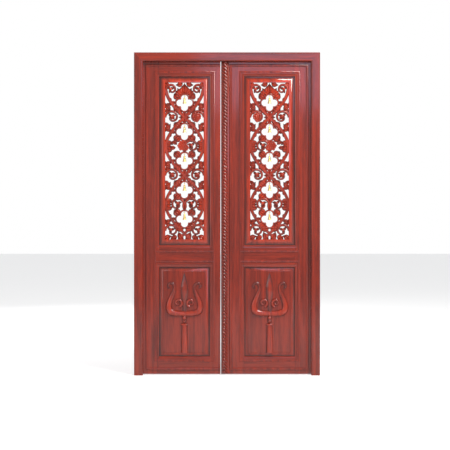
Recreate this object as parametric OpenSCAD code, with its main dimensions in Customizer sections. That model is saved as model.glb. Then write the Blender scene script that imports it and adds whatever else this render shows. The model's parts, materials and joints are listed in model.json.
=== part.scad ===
// Double-leaf carved teak front door in a rebated frame.
// The front faces -Y, the leaves swing back towards +Y, and the origin is on the floor at mid-width.

/* [Doorway] */
// Width of the leaves that shows between the jambs
sight_w = 1128; // [1040:1:1300]
// Height of the leaves that shows below the head
sight_h = 2100; // [1980:1:2300]
// Clearance under the leaves
floor_gap = 6; // [4:0.5:12]

/* [Frame] */
// Face width of the jambs and the head
frame_face = 60; // [50:1:100]
// Depth of the jambs and the head, front to back
frame_depth = 75; // [66:1:120]
// Lap of the frame's stop over the leaf edges
stop_lap = 12; // [9:0.5:18]
// Radius of the frame's front arrises
arris_r = 8; // [3:0.5:12]
// Radius of the wall fixing holes
fixing_r = 5; // [3:0.5:6]
// Height of the middle of the wall fixings
fixing_mid_z = 1060; // [1030:1:1090]
// Spacing of the outer pair of wall fixings
fixing_outer_span = 1280; // [1180:1:1400]
// Spacing of the inner pair of wall fixings
fixing_inner_span = 530; // [400:1:700]

/* [Leaf] */
// Thickness of the leaf's stiles and rails
leaf_t = 40; // [38:0.5:44]
// Gap between a leaf and the frame's rebate
side_gap = 3; // [2:0.5:5]
// Gap between a leaf's face and the frame's stop
stop_gap = 1; // [0.5:0.1:2]
// Gap between the two leaves
meeting_gap = 4; // [3.5:0.5:6]
// Place of the meeting line, measured from mid-width
meeting_x = -42; // [-50:1:-30]
// Width of the hinge stile from the stop to the panel opening
stile_w = 90; // [80:1:110]
// Distance from mid-width to the panel openings
middle_w = 99; // [90:1:115]
// Height of the bottom rail
bottom_rail_h = 100; // [90:1:130]
// Height of the lower panel opening
lower_h = 636; // [600:1:700]
// Height of the middle rail
mid_rail_h = 112; // [100:1:150]
// Height of the top rail that shows
top_rail_h = 80; // [74:1:110]
// Length of the rails' tenons
tenon_l = 40; // [25:1:45]
// Thickness of the rails' tenons
tenon_t = 12; // [8:1:14]
// Step of the outer rails' tenons from the leaf's ends
tenon_step = 20; // [12:1:30]
// Clearance of a tenon in its mortise
tenon_play = 0.2; // [0.1:0.05:0.4]

/* [Panels] */
// Width of the moulded slope round each opening
slope_w = 18; // [14:1:22]
// Depth of the moulded slope
slope_d = 9; // [6:0.5:10]
// Depth of the groove between slope and panel
groove_d = 13; // [12:0.5:15]
// Width of the panel's bevel
bevel_w = 24; // [16:1:30]
// Depth of the panel's field below the leaf's face
field_d = 2; // [0:0.5:4]
// Thickness of the panel's tongue
tongue_t = 12; // [8:0.5:14]
// Reach of the panel's tongue into the plough
tongue_l = 10; // [6:0.5:12]
// Clearance of a panel in its plough
panel_play = 0.3; // [0.2:0.05:0.5]
// Flat border round the pierced carving
border_w = 16; // [12:1:24]

/* [Beads] */
// Flat strip outside the edge bead
edge_strip = 16; // [10:1:24]
// Flat strip below the edge bead at the foot
foot_strip = 26; // [16:1:32]
// Width of the edge bead
edge_bead_w = 17; // [12:1:20]
// Height of the edge bead
edge_bead_h = 6; // [3:0.5:8]
// Width of the small bead round the panels
small_bead_w = 14; // [8:1:16]
// Height of the small bead
small_bead_h = 4; // [2:0.5:6]
// Gap between the small bead and the panel openings
small_bead_gap = 4; // [2:0.5:6]
// Gap between the middle rail's beads and the openings
rail_bead_gap = 15; // [8:1:20]

/* [Rope batten] */
// Width of the batten
batten_w = 52; // [46:1:56]
// Thickness of the batten's base
batten_t = 6; // [4:0.5:8]
// Setback of the batten from the leaf's meeting edge
batten_setback = 3; // [2.5:0.5:6]
// Width of the rope
rope_w = 39; // [30:1:42]
// Height of the rope above the base
rope_h = 12; // [8:0.5:14]
// Rise from one strand of the rope to the next
strand_pitch = 22; // [18:0.5:30]
// Depth of the hollow between two strands
strand_hollow = 4; // [2:0.5:5]

/* [Vine carving] */
// Distance between the four-lobed holes, as a share of the carving's height
hole_share = 0.1856; // [0.18:0.0002:0.19]
// Reach of the carving into its border
carve_lock = 4; // [2:0.5:6]
// Radius of each lobe of a hole
lobe_r = 23; // [20:0.5:25]
// Distance of the lobes from a hole's centre
lobe_off = 31; // [29:0.5:33]
// Width of the moulded rim of a hole
rim_w = 8; // [7:0.5:10]
// Width of the main stems
stem_w = 16; // [12:0.5:20]
// Width of the side scrolls where they start
scroll_w = 12; // [9:0.5:15]
// Depth of the carving's shoulder below its crest
carve_fall = 7; // [4:0.5:9]
// Radius of a grape
grape_r = 9; // [7:0.5:10]

/* [Trident] */
// Height of the trident's relief above the field
relief_h = 13; // [8:0.5:15]
// Width of the shaft
shaft_w = 34; // [26:1:40]
// Width of the prongs where they start
prong_w = 26; // [20:1:30]
// Widest part of the spear
spear_w = 46; // [36:1:52]

/* [Bells] */
// Radius of a bell's mouth
bell_r = 13; // [10:0.5:14]
// Height of a bell
bell_h = 40; // [34:0.5:42]
// Thickness of a bell's wall
bell_wall = 1.6; // [1.2:0.1:2.2]
// Radius of the rings of eye and loop, at the wire's middle
ring_r = 4.5; // [4:0.1:5]
// Radius of the rings' wire
wire_r = 1.2; // [0.9:0.1:1.4]
// Clearance between eye and loop where the bell hangs
ring_play = 0.3; // [0.2:0.05:0.5]
// Gap between a screw eye and the wood above it
eye_gap = 2; // [1:0.1:3]
// Length of the screw eye's shank in the wood
shank_l = 6; // [4:0.5:7]

/* [Hinges] */
// Height of a hinge
hinge_h = 100; // [80:1:120]
// Distance of the outer hinges' middles from the leaf's ends
hinge_inset = 215; // [160:1:280]
// Thickness of a flap
flap_t = 2.5; // [2:0.1:3]
// Reach of a flap into the rebate
flap_w = 32; // [26:0.5:34]
// Radius of a knuckle
knuckle_r = 6; // [5.5:0.1:7]
// Radius of a hinge pin
pin_r = 3; // [2.5:0.1:3.5]
// Running clearance round a pin
pin_play = 0.05; // [0.02:0.01:0.1]
// Gap between a knuckle and the leaf's back
knuckle_rise = 0.3; // [0.2:0.05:0.6]
// Gap between knuckles
knuckle_gap = 0.4; // [0.3:0.05:0.8]
// Radius of a screw's shank
screw_r = 1.8; // [1.5:0.1:2]
// Radius of a screw's head
screw_head_r = 4; // [3:0.1:4.4]
// Length of a screw
screw_l = 22; // [16:0.5:26]
// Clearance round a screw
screw_play = 0.1; // [0.05:0.05:0.2]

/* [Bolts] */
// Radius of a bolt's rod
rod_r = 6; // [5:0.1:7]
// Running clearance round a rod
rod_play = 0.08; // [0.04:0.01:0.1]
// Travel of a bolt
bolt_travel = 40; // [30:1:45]
// Length of a bolt's back plate
plate_l = 170; // [160:1:200]
// Width of a bolt's back plate
plate_w = 34; // [32:1:40]
// Thickness of a bolt's back plate
plate_t = 2.5; // [2:0.1:4]
// Wall round a rod in its guides
guide_wall = 3.5; // [3:0.1:4.5]
// Clearance round a rod in its keeper
keeper_play = 0.5; // [0.3:0.1:1]
// Length of a guide along the rod
guide_l = 14; // [10:0.5:18]
// Length of a bolt's knob behind the rod
knob_l = 15; // [12:0.5:20]
// Radius of a bolt's knob
knob_r = 7; // [6:0.1:8]
// Setback of plates and keepers from the edge they face
keeper_gap = 3; // [2:0.5:5]
// Distance of the upright bolts from the meeting edge
bolt_inset = 50; // [40:1:70]

/* [Hidden] */
$fn = 48;
SIDES = ["left", "right"];
HINGES = ["low", "mid", "top"];
BELLS = [1, 2, 3, 4, 5];
MEMBERS = ["hinge_stile", "meeting_stile", "bottom_rail", "mid_rail", "top_rail", "carved_panel",
    "trident_panel", "edge_bead", "panel_bead", "bell_eyes", "leaf_screws"];

TEAK = [0.42, 0.11, 0.06];
TEAK_DARK = [0.34, 0.09, 0.05];
BRASS = [0.86, 0.72, 0.42];
STEEL = [0.62, 0.60, 0.56];
EPS = 1;

// Leaf and frame lines, front to back and side to side
rod_axis_y = plate_t + guide_wall + rod_r;
rear_reach = rod_axis_y + rod_r + knob_l;
y_front = -(frame_depth + rear_reach) / 2;
y_back = y_front + frame_depth;
y_leaf = y_back - leaf_t;
edge_x = sight_w / 2 + stop_lap - side_gap;
rebate_x = sight_w / 2 + stop_lap;
outer_x = sight_w / 2 + frame_face;
sight_top = floor_gap + sight_h;
frame_top = sight_top + frame_face;
leaf_h = sight_h + stop_lap - side_gap;
lap_in = stop_lap - side_gap;
hinge_x = edge_x + side_gap / 2;
hinge_y = y_back + knuckle_r + knuckle_rise;

// Lines of one leaf, measured from its hinge edge, its face and its foot
open_x0 = stile_w + lap_in;
open_x1 = edge_x - middle_w;
open_mid = (open_x0 + open_x1) / 2;
low_z0 = bottom_rail_h;
low_z1 = low_z0 + lower_h;
up_z0 = low_z1 + mid_rail_h;
up_z1 = sight_h - top_rail_h;
plough_y1 = groove_d + tongue_t;
carve_w = open_x1 - open_x0 - 2 * (slope_w + bevel_w + border_w);
carve_h = up_z1 - up_z0 - 2 * (slope_w + bevel_w + border_w);
carve_mid_z = (up_z0 + up_z1) / 2;
hole_pitch = carve_h * hole_share;
carve_crest = field_d + 1;
carve_back = plough_y1 - 2;
eye_drop = ring_r + wire_r + eye_gap;
eye_z = lobe_off + lobe_r - eye_drop;
loop_z = eye_z - 2 * ring_r + 2 * wire_r + ring_play;
crown_z = loop_z - ring_r;
bell_y = (carve_crest + carve_back) / 2;
mid_bolt_z = (low_z1 + up_z0) / 2;

function leaf_w(side) = edge_x + (side == "left" ? meeting_x : -meeting_x) - meeting_gap / 2;
function hinge_z(h) = h == "low" ? hinge_inset : h == "top" ? leaf_h - hinge_inset : leaf_h / 2;
function hole_z(k) = (3 - k) * hole_pitch;

// Moves a leaf's own frame to its place: the right leaf is the mirror image
module on_leaf(side) {
    mirror([side == "right" ? 1 : 0, 0, 0])
        translate([-edge_x, y_leaf, floor_gap]) children();
}

// Mirrors the frame's left-hand pieces to the right
module on_side(side) {
    mirror([side == "right" ? 1 : 0, 0, 0]) children();
}

// Solid between rectangles that are inset from x0..x1, z0..z1 by each step's first number, at its second
module stepped_solid(x0, x1, z0, z1, steps) {
    n = len(steps);
    points = [for (s = steps) each [[x0 + s[0], s[1], z0 + s[0]], [x1 - s[0], s[1], z0 + s[0]],
        [x1 - s[0], s[1], z1 - s[0]], [x0 + s[0], s[1], z1 - s[0]]]];
    sides = [for (i = [0 : n - 2]) for (k = [0 : 3])
        [4 * i + k, 4 * i + (k + 1) % 4, 4 * i + 4 + (k + 1) % 4, 4 * i + 4 + k]];
    polyhedron(points, concat([[3, 2, 1, 0]], sides, [[4 * n - 4, 4 * n - 3, 4 * n - 2, 4 * n - 1]]));
}

// Mitred strip round a rectangle, with a closed section of inset and depth
module mitred_ring(x0, x1, z0, z1, section) {
    n = len(section);
    points = [for (s = section) each [[x0 + s[0], s[1], z0 + s[0]], [x1 - s[0], s[1], z0 + s[0]],
        [x1 - s[0], s[1], z1 - s[0]], [x0 + s[0], s[1], z1 - s[0]]]];
    polyhedron(points, [for (i = [0 : n - 1]) for (k = [0 : 3])
        [4 * i + k, 4 * ((i + 1) % n) + k, 4 * ((i + 1) % n) + (k + 1) % 4, 4 * i + (k + 1) % 4]]);
}

// Half-round section of a planted bead, from its outer edge inwards
function bead_section(w, h) = [for (a = [0 : 30 : 180]) [w / 2 * (1 - cos(a)), -h * sin(a)]];

// Steps of an opening: a rounded slope at the face, then straight through the leaf
function opening_steps() = concat([[0, -EPS]],
    [for (a = [0 : 22.5 : 90]) [slope_w * sin(a), 1 + (slope_d - 1) * (1 - cos(a))]],
    [[slope_w, leaf_t + EPS]]);

// Steps of a raised panel: bevel at the front, flat at the back
function panel_steps() = [[bevel_w, field_d], [panel_play, groove_d + panel_play],
    [panel_play, plough_y1 - panel_play]];

// Opening for one panel, with the plough that takes its tongue
module panel_opening(z0, z1) {
    stepped_solid(open_x0, open_x1, z0, z1, opening_steps());
    reach = slope_w - tongue_l;
    translate([open_x0 + reach, groove_d, z0 + reach])
        cube([open_x1 - open_x0 - 2 * reach, tongue_t, z1 - z0 - 2 * reach]);
}

// Raised panel board with its tongue
module panel_board(z0, z1) {
    stepped_solid(open_x0 + slope_w, open_x1 - slope_w, z0 + slope_w, z1 - slope_w, panel_steps());
    reach = slope_w - tongue_l + panel_play;
    translate([open_x0 + reach, groove_d + panel_play, z0 + reach])
        cube([open_x1 - open_x0 - 2 * reach, tongue_t - 2 * panel_play, z1 - z0 - 2 * reach]);
}

module both_openings() {
    panel_opening(low_z0, low_z1);
    panel_opening(up_z0, up_z1);
}

// Heights of each rail's body and of its tenons
function rail_z(rail) = rail == "bottom" ? [0, low_z0 + slope_w]
    : rail == "mid" ? [low_z1 - slope_w, up_z0 + slope_w] : [up_z1 - slope_w, leaf_h];
function tenon_z(rail) = rail == "bottom" ? [tenon_step, low_z0]
    : rail == "mid" ? [low_z1, up_z0] : [up_z1, leaf_h - tenon_step];
RAILS = ["bottom", "mid", "top"];
tenon_y = (leaf_t - tenon_t) / 2;
body_x0 = open_x0 + slope_w;
body_x1 = open_x1 - slope_w;

module rail(side, name) {
    z = rail_z(name);
    t = tenon_z(name);
    color(TEAK) on_leaf(side) difference() {
        union() {
            translate([body_x0, 0, z[0]]) cube([body_x1 - body_x0, leaf_t, z[1] - z[0]]);
            translate([body_x0 - tenon_l, tenon_y, t[0]])
                cube([body_x1 - body_x0 + 2 * tenon_l, tenon_t, t[1] - t[0]]);
        }
        both_openings();
        if (name == "mid" && side == "left") cross_bolt_screw_holes();
    }
}

module mortises(x0, x1) {
    for (r = RAILS) {
        t = tenon_z(r);
        translate([x0, tenon_y - tenon_play, t[0] - tenon_play])
            cube([x1 - x0, tenon_t + 2 * tenon_play, t[1] - t[0] + 2 * tenon_play]);
    }
}

module hinge_stile(side) {
    color(TEAK_DARK) on_leaf(side) difference() {
        cube([body_x0, leaf_t, leaf_h]);
        both_openings();
        mortises(body_x0 - tenon_l - tenon_play, body_x0 + EPS);
        for (h = HINGES) {
            translate([-EPS, leaf_t - flap_w - screw_play, hinge_z(h) - hinge_h / 2 - screw_play])
                cube([EPS + flap_t + screw_play, flap_w + EPS + screw_play, hinge_h + 2 * screw_play]);
            flap_screws(h) screw_hole();
        }
    }
}

module meeting_stile(side) {
    color(TEAK_DARK) on_leaf(side) difference() {
        translate([body_x1, 0, 0]) cube([leaf_w(side) - body_x1, leaf_t, leaf_h]);
        both_openings();
        mortises(body_x1 - EPS, body_x1 + tenon_l + tenon_play);
        if (side == "left") cross_bolt_screw_holes();
        if (side == "right") right_bolt_screw_places() screw_hole();
    }
}

// Planted bead near the leaf's edge: on the left leaf it runs out at the meeting edge
module edge_bead(side) {
    past_x = leaf_w(side) + 2 * edge_bead_w;
    inner_x = leaf_w(side) - batten_setback - batten_w - 1;
    color(TEAK) on_leaf(side) intersection() {
        mitred_ring(lap_in + edge_strip, side == "left" ? past_x : inner_x, foot_strip,
            sight_h - edge_strip, bead_section(edge_bead_w, edge_bead_h));
        translate([0, -leaf_t, 0]) cube([leaf_w(side), leaf_t, leaf_h]);
    }
}

// Smaller bead round both panels, with two more along the middle rail
module panel_bead(side) {
    out = small_bead_gap + small_bead_w;
    color(TEAK) on_leaf(side) {
        mitred_ring(open_x0 - out, open_x1 + out, low_z0 - out, up_z1 + out,
            bead_section(small_bead_w, small_bead_h));
        for (z = [low_z1 + rail_bead_gap, up_z0 - rail_bead_gap - small_bead_w])
            translate([open_x0 - out + small_bead_w / 2, 0, z])
                rotate([90, 0, 90])
                    linear_extrude(open_x1 - open_x0 + 2 * out - small_bead_w)
                        polygon([for (p = bead_section(small_bead_w, small_bead_h)) [p[1], p[0]]]);
    }
}

// Carved strands: tapering ridges that follow a path of points in the panel's plane
function along(path, i) = let (n = len(path), d = path[min(i + 1, n - 1)] - path[max(i - 1, 0)]) d / norm(d);
function mix(a, b, t) = a + (b - a) * t;
function taper(w0, w1, n) = [for (i = [0 : n - 1]) mix(w0, w1, i / (n - 1))];
function leaf_widths(w, n) = [for (i = [0 : n - 1]) let (t = i / (n - 1)) 2.5 + (w - 2.5) * sin(180 * pow(t, 0.8))];
function spiral(c, r0, r1, a0, a1, n) = [for (i = [0 : n - 1]) let (t = i / (n - 1), a = mix(a0, a1, t))
    c + mix(r0, r1, t) * [cos(a), sin(a)]];
function blade(p, a, l, bend, n) = [for (i = [0 : n - 1]) let (t = i / (n - 1))
    p + l * t * [cos(a + bend * t), sin(a + bend * t)]];
function spline_at(p, i, t) = let (n = len(p), a = p[max(i - 1, 0)], b = p[i], c = p[i + 1], d = p[min(i + 2, n - 1)])
    0.5 * (2 * b + (c - a) * t + (2 * a - 5 * b + 4 * c - d) * t * t + (3 * b - a - 3 * c + d) * t * t * t);
function spline(p, k) = concat([for (i = [0 : len(p) - 2]) for (j = [0 : k - 1]) spline_at(p, i, j / k)],
    [p[len(p) - 1]]);
function flip(path) = [for (p = path) [-p[0], p[1]]];

// Section of across (in widths) and depth, swept along a path
module sweep(path, widths, section) {
    n = len(path);
    m = len(section);
    points = [for (i = [0 : n - 1]) let (d = along(path, i), s = [d[1], -d[0]] * widths[i]) for (q = section)
        [path[i][0] + s[0] * q[0], q[1], path[i][1] + s[1] * q[0]]];
    sides = [for (i = [0 : n - 2]) for (k = [0 : m - 1])
        [m * i + k, m * i + m + k, m * i + m + (k + 1) % m, m * i + (k + 1) % m]];
    polyhedron(points, concat([[for (k = [0 : m - 1]) k]], sides, [[for (k = [m - 1 : -1 : 0]) m * (n - 1) + k]]));
}

module strand(path, widths, crest, shoulder, back) {
    sweep(path, widths, [[-0.5, back], [-0.5, shoulder], [0, crest], [0.5, shoulder], [0.5, back]]);
}

module ridge(path, widths, crest, back) {
    sweep(path, widths, [[-0.5, back], [0, crest], [0.5, back]]);
}

// Stem, scroll and leaf: the stems are full depth, the others are thinner
module stem(path, w0, w1) {
    strand(path, taper(w0, w1, len(path)), carve_crest, carve_crest + carve_fall, carve_back);
}

module scroll(path) {
    ridge(path, taper(scroll_w, scroll_w * 0.6, len(path)), carve_crest + 0.5, carve_crest + 2 * carve_fall);
}

module leaf(p, a, l, w, bend = 30, sink = 1) {
    ridge(blade(p, a, l, bend, 4), leaf_widths(w, 4), carve_crest + sink, carve_crest + 1.7 * carve_fall + sink);
}

// The carving follows its opening: one unit is a millimetre in a panel of the usual size
unit = min(carve_w / 259, hole_pitch / 196);
half_w = carve_w / 2;
lobe_reach = lobe_off + lobe_r;

// Both stems weave about the middle and cross between holes 1 and 2, and between holes 3 and 4
cross_z = 1.5 * hole_pitch;
sway = half_w + carve_lock - stem_w / 2;
function stem_x(z) = sway * sin(90 * (cross_z - z) / hole_pitch);
stem_top = cross_z + 0.92 * hole_pitch;
stem_foot = -carve_h / 2 - carve_lock;
STEM_STEPS = 19;
main_stem = [for (i = [0 : STEM_STEPS]) let (z = mix(stem_top, stem_foot, i / STEM_STEPS)) [stem_x(z), z]];
side_x = half_w - 48 * unit;
volute_r = 38 * unit;
volute = [abs(stem_x(stem_top)) - volute_r * cos(12), stem_top + volute_r * sin(12)];

// Four lobes of a hole, with a square heart
module lobes(r) {
    for (a = [0 : 90 : 270]) rotate(a) translate([lobe_off, 0]) circle(r, $fn = 12);
    square(lobe_off * 1.3, center = true);
}

module rim(k) {
    translate([0, carve_back, hole_z(k)]) rotate([90, 0, 0])
        linear_extrude(carve_back - carve_crest - 2) lobes(lobe_r + rim_w);
}

// Bunch of grapes on a leaf that runs the same way
module grapes(x, z, tilt) {
    translate([x, 0, z]) rotate([0, tilt, 0]) {
        leaf([0, grape_r * 2], -90, grape_r * 7, grape_r * 4, 0, 4);
        for (row = [0 : 2]) for (i = [0 : 2 - row])
            translate([(i - (2 - row) / 2) * grape_r * 2.05, carve_crest + grape_r * 0.8, -row * grape_r * 1.8])
                sphere(grape_r, $fn = 8);
    }
}

// Stems, scrolls and leaves that are alike on both sides of the middle
module half_vine() {
    edge = half_w + carve_lock;
    stem(main_stem, stem_w, stem_w * 0.8);
    scroll(spiral(volute, volute_r, 12 * unit, -12, 290, 10));
    leaf(volute + [10 * unit, 0], 200, 44 * unit, 20 * unit);
    leaf([12 * unit, carve_h / 2 + carve_lock], -62, 40 * unit, 18 * unit);
    for (z = [cross_z, cross_z - 2 * hole_pitch]) {
        scroll(spiral([side_x, z], edge - side_x, 16 * unit, 0, 320, 12));
        leaf([16 * unit, z + 14 * unit], 40, 42 * unit, 18 * unit, 20);
        leaf([16 * unit, z - 14 * unit], -40, 42 * unit, 18 * unit, -20);
        leaf([edge, z + 72 * unit], 190, 48 * unit, 20 * unit, 30);
        leaf([edge, z - 72 * unit], 170, 48 * unit, 20 * unit, -30);
    }
    for (k = BELLS) {
        x = abs(stem_x(hole_z(k)));
        up = k % 2 == 0 ? 1 : -1;
        leaf([x, hole_z(k)], 180, x - lobe_reach, 17 * unit, 18 * up);
        leaf([x, hole_z(k) + 6 * unit * up], 30 * up, 50 * unit, 18 * unit, -20 * up);
    }
    for (z = [hole_pitch / 2, -1.5 * hole_pitch]) {
        leaf([abs(stem_x(z)), z + 16 * unit], 150, 44 * unit, 18 * unit, 40, 2);
        leaf([abs(stem_x(z)), z - 16 * unit], 210, 44 * unit, 18 * unit, -40, 2);
    }
    foot_x = side_x + 2 * unit;
    scroll(spiral([foot_x, stem_foot + 62 * unit], edge - foot_x, 14 * unit, 0, 300, 11));
    leaf([6 * unit, stem_foot], 38, 66 * unit, 20 * unit, 20);
    scroll(spiral([50 * unit, -1.5 * hole_pitch], 48 * unit, 12 * unit, 180, -130, 11));
}

// Openwork of stems, scrolls, leaves and grapes in the upper panel
module vine_carving() {
    bridge = hole_pitch / 2 - lobe_reach;
    half_vine();
    mirror([1, 0, 0]) half_vine();
    for (z = [cross_z, cross_z - 2 * hole_pitch]) {
        leaf([0, z + 8 * unit], 90, bridge - 8 * unit, 22 * unit, 0);
        leaf([0, z - 8 * unit], -90, bridge - 8 * unit, 22 * unit, 0);
        leaf([-side_x - 14 * unit, z + 8 * unit], -20, 44 * unit, 24 * unit, -20, 2);
    }
    leaf([side_x + 14 * unit, cross_z - 2 * hole_pitch + 8 * unit], 200, 44 * unit, 24 * unit, 20, 2);
    grapes(side_x + 2 * unit, cross_z + 10 * unit, 10);
    grapes(-30 * unit, hole_pitch / 2 + 14 * unit, -50);
    scroll(spiral([50 * unit, hole_pitch / 2], 48 * unit, 12 * unit, 180, -130, 11));
    leaf([0, hole_pitch / 2 - bridge], 90, 2 * bridge, 22 * unit, 0);
    leaf([0, -1.5 * hole_pitch - bridge], 90, 2 * bridge, 24 * unit, 0);
    for (k = BELLS) rim(k);
}

// Upper panel: one board, pierced and carved, and faceted as a whole
module carved_panel(side) {
    color(TEAK) on_leaf(side) resize([0, 0, 0]) difference() {
        union() {
            difference() {
                panel_board(up_z0, up_z1);
                translate([open_mid - carve_w / 2, -EPS, carve_mid_z - carve_h / 2])
                    cube([carve_w, leaf_t + 2 * EPS, carve_h]);
            }
            intersection() {
                translate([open_mid, 0, carve_mid_z]) difference() {
                    vine_carving();
                    for (k = BELLS) translate([0, leaf_t, hole_z(k)]) rotate([90, 0, 0])
                        linear_extrude(leaf_t + EPS) lobes(lobe_r);
                }
                translate([open_mid - carve_w / 2 - border_w / 2, 0, carve_mid_z - carve_h / 2 - border_w / 2])
                    cube([carve_w + border_w, leaf_t, carve_h + border_w]);
            }
        }
        for (k = BELLS) translate([open_mid, bell_y, carve_mid_z + hole_z(k) + lobe_off + lobe_r - EPS])
            cylinder(h = shank_l + EPS + 0.5, r = wire_r + 0.3, $fn = 8);
    }
}

// Trident, measured from the middle of the field's foot
field_z0 = low_z0 + slope_w + bevel_w;
field_h = lower_h - 2 * (slope_w + bevel_w);
knot_z = field_h * 0.44;
field_w = open_x1 - open_x0 - 2 * (slope_w + bevel_w);
tri = min(field_w / 291, field_h / 552);
PRONG = [[0, 19], [60, 27], [108, 54], [122, 87], [112, 132], [92, 167], [87, 197], [103, 219], [121, 209],
    [116, 188]];
prong = spline([for (p = PRONG) [p[0] * tri, knot_z + p[1] * tri]], 2);
inner_curl = spiral([40 * tri, knot_z + 100 * tri], 26 * tri, 9 * tri, 230, -60, 9);
spear = [for (t = [0, 0.25, 0.42, 0.6, 0.72, 0.84, 0.94, 1]) [0, mix(knot_z + 20 * tri, field_h - 8 * tri, t)]];
spear_widths = [for (w = [0.5, 0.42, 0.52, 0.8, 1, 0.74, 0.34, 0.06]) w * spear_w];
collar_z = knot_z - 52 * tri;

module trident() {
    crest = field_d - relief_h;
    base = field_d + 2;
    low = field_d - relief_h / 4;
    for (turn = [0, 1]) mirror([turn, 0, 0]) {
        strand(prong, taper(prong_w, prong_w / 2, len(prong)), crest + 1, low, base);
        ridge(inner_curl, taper(prong_w * 0.7, prong_w * 0.35, len(inner_curl)), crest + 3, base);
    }
    strand(spear, spear_widths, crest, low, base);
    strand([[0, 0], [0, collar_z]], [shaft_w, shaft_w * 0.9], crest + 1, low, base);
    strand([for (x = [-1, 0, 1]) [x * shaft_w * 0.8, collar_z]], shaft_w * [0.47, 0.53, 0.47], crest, low, base);
    for (k = [-1, 0, 1]) translate([0, field_d - 1, knot_z - 6 * tri + k * 28 * tri])
        sphere(relief_h + (k > 0 ? 3 : 1) * tri, $fn = 12);
}

module trident_panel(side) {
    color(TEAK) on_leaf(side) resize([0, 0, 0]) union() {
        panel_board(low_z0, low_z1);
        intersection() {
            translate([open_mid, 0, field_z0]) trident();
            translate([open_x0 + slope_w, -leaf_t, field_z0])
                cube([open_x1 - open_x0 - 2 * slope_w, leaf_t + plough_y1 - 2, field_h]);
        }
    }
}

// Rope batten: slanted strands over half a round, in rows that follow the slant
ROPE_ROWS = 2;
ROPE_COLS = 5;
rope_foot = foot_strip - 20;
rope_l = sight_h - rope_foot - 2;
strand_slant = rope_w * 0.5;

module rope() {
    rows = ceil((rope_l + 2 * strand_slant) / strand_pitch) * ROPE_ROWS;
    across = [for (k = [0 : ROPE_COLS]) 180 - 180 * k / ROPE_COLS];
    m = ROPE_COLS + 1;
    points = [for (i = [0 : rows]) for (a = across) let (
        swell = 1 - (i % ROPE_ROWS == 0 ? strand_hollow / rope_h : 0))
        [rope_w / 2 * cos(a) * (1 - (1 - swell) / 4), -rope_h * sin(a) * swell - 0.01,
            i * strand_pitch / ROPE_ROWS - strand_slant + strand_slant * cos(a)]];
    sides = [for (i = [0 : rows - 1]) for (k = [0 : m - 1])
        [i * m + k, (i + 1) * m + k, (i + 1) * m + (k + 1) % m, i * m + (k + 1) % m]];
    foot = [for (k = [0 : m - 1]) k];
    head = [for (k = [0 : m - 1]) (rows + 1) * m - 1 - k];
    polyhedron(points, concat([foot], sides, [head]));
}

module rope_batten() {
    x1 = leaf_w("right") - batten_setback;
    color(TEAK) on_leaf("right") translate([x1 - batten_w, 0, rope_foot]) resize([0, 0, 0]) union() {
        translate([0, -batten_t, 0]) cube([batten_w, batten_t, rope_l]);
        intersection() {
            translate([batten_w / 2, -batten_t + 0.5, 0]) rope();
            translate([0, -leaf_t, 0]) cube([batten_w, leaf_t, rope_l]);
        }
    }
}

// Section of the left jamb, seen from above: stop at the front, rebate behind
module frame_section() {
    difference() {
        union() {
            translate([-outer_x, y_front]) square([outer_x - rebate_x, frame_depth]);
            translate([-outer_x, y_front])
                square([outer_x - sight_w / 2, frame_depth - leaf_t - stop_gap]);
        }
        for (x = [-outer_x, -sight_w / 2]) {
            inward = x < -rebate_x ? 1 : -1;
            translate([x + inward * arris_r, y_front + arris_r]) difference() {
                translate([inward > 0 ? -arris_r - EPS : 0, -arris_r - EPS]) square(arris_r + EPS);
                circle(arris_r);
            }
        }
    }
}

module jamb(side) {
    color(TEAK_DARK) on_side(side) difference() {
        linear_extrude(frame_top) frame_section();
        translate([-outer_x, 0, frame_top]) rotate([0, 45, 0])
            translate([-frame_face, -frame_depth, 0]) cube([4 * frame_face, 2 * frame_depth, 2 * frame_face]);
        for (span = [fixing_outer_span, fixing_inner_span]) for (up = [-1, 1])
            translate([-outer_x - EPS, y_back - leaf_t / 2, fixing_mid_z + up * span / 2])
                rotate([0, 90, 0]) cylinder(h = frame_face + 2 * EPS, r = fixing_r);
        translate([-edge_x, y_leaf, floor_gap]) for (h = HINGES) {
            translate([-side_gap - flap_t - screw_play, leaf_t - flap_w - screw_play,
                hinge_z(h) - hinge_h / 2 - screw_play])
                cube([EPS + flap_t + screw_play, flap_w + EPS + screw_play, hinge_h + 2 * screw_play]);
            translate([-side_gap, 0, 0]) mirror([1, 0, 0]) flap_screws(h) screw_hole();
        }
    }
}

module frame_head() {
    color(TEAK) difference() {
        translate([-outer_x, 0, frame_top - outer_x]) rotate([0, 90, 0])
            linear_extrude(2 * outer_x) frame_section();
        for (side = SIDES) on_side(side) translate([-outer_x, 0, frame_top]) rotate([0, 45, 0])
            translate([-2 * frame_face, -frame_depth, -4 * frame_face])
                cube([6 * frame_face, 2 * frame_depth, 4 * frame_face]);
        top_keeper_screws() screw_hole();
    }
}

// Countersunk screw along +X, with its head's face at 0, and the hole that takes it
module screw() {
    cylinder_x(0, screw_head_r - screw_r, screw_head_r, screw_r);
    cylinder_x(0, screw_l, screw_r, screw_r);
}

module screw_hole() {
    cylinder_x(-EPS, screw_l + EPS + 0.3, screw_r + screw_play, screw_r + screw_play);
}

module screw_sink() {
    screw_hole();
    cylinder_x(0, screw_head_r - screw_r, screw_head_r + screw_play, screw_r + screw_play);
    cylinder_x(-EPS, EPS + 0.01, screw_head_r + screw_play, screw_head_r + screw_play);
}

module cylinder_x(x, l, r1, r2) {
    translate([x, 0, 0]) rotate([0, 90, 0]) cylinder(h = l, r1 = r1, r2 = r2);
}

// Places of a flap's three screws, in the leaf's frame
module flap_screws(h) {
    for (k = [-1, 0, 1])
        translate([0, leaf_t - flap_w * (k == 0 ? 0.4 : 0.68), hinge_z(h) + k * hinge_h * 0.34]) children();
}

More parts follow.
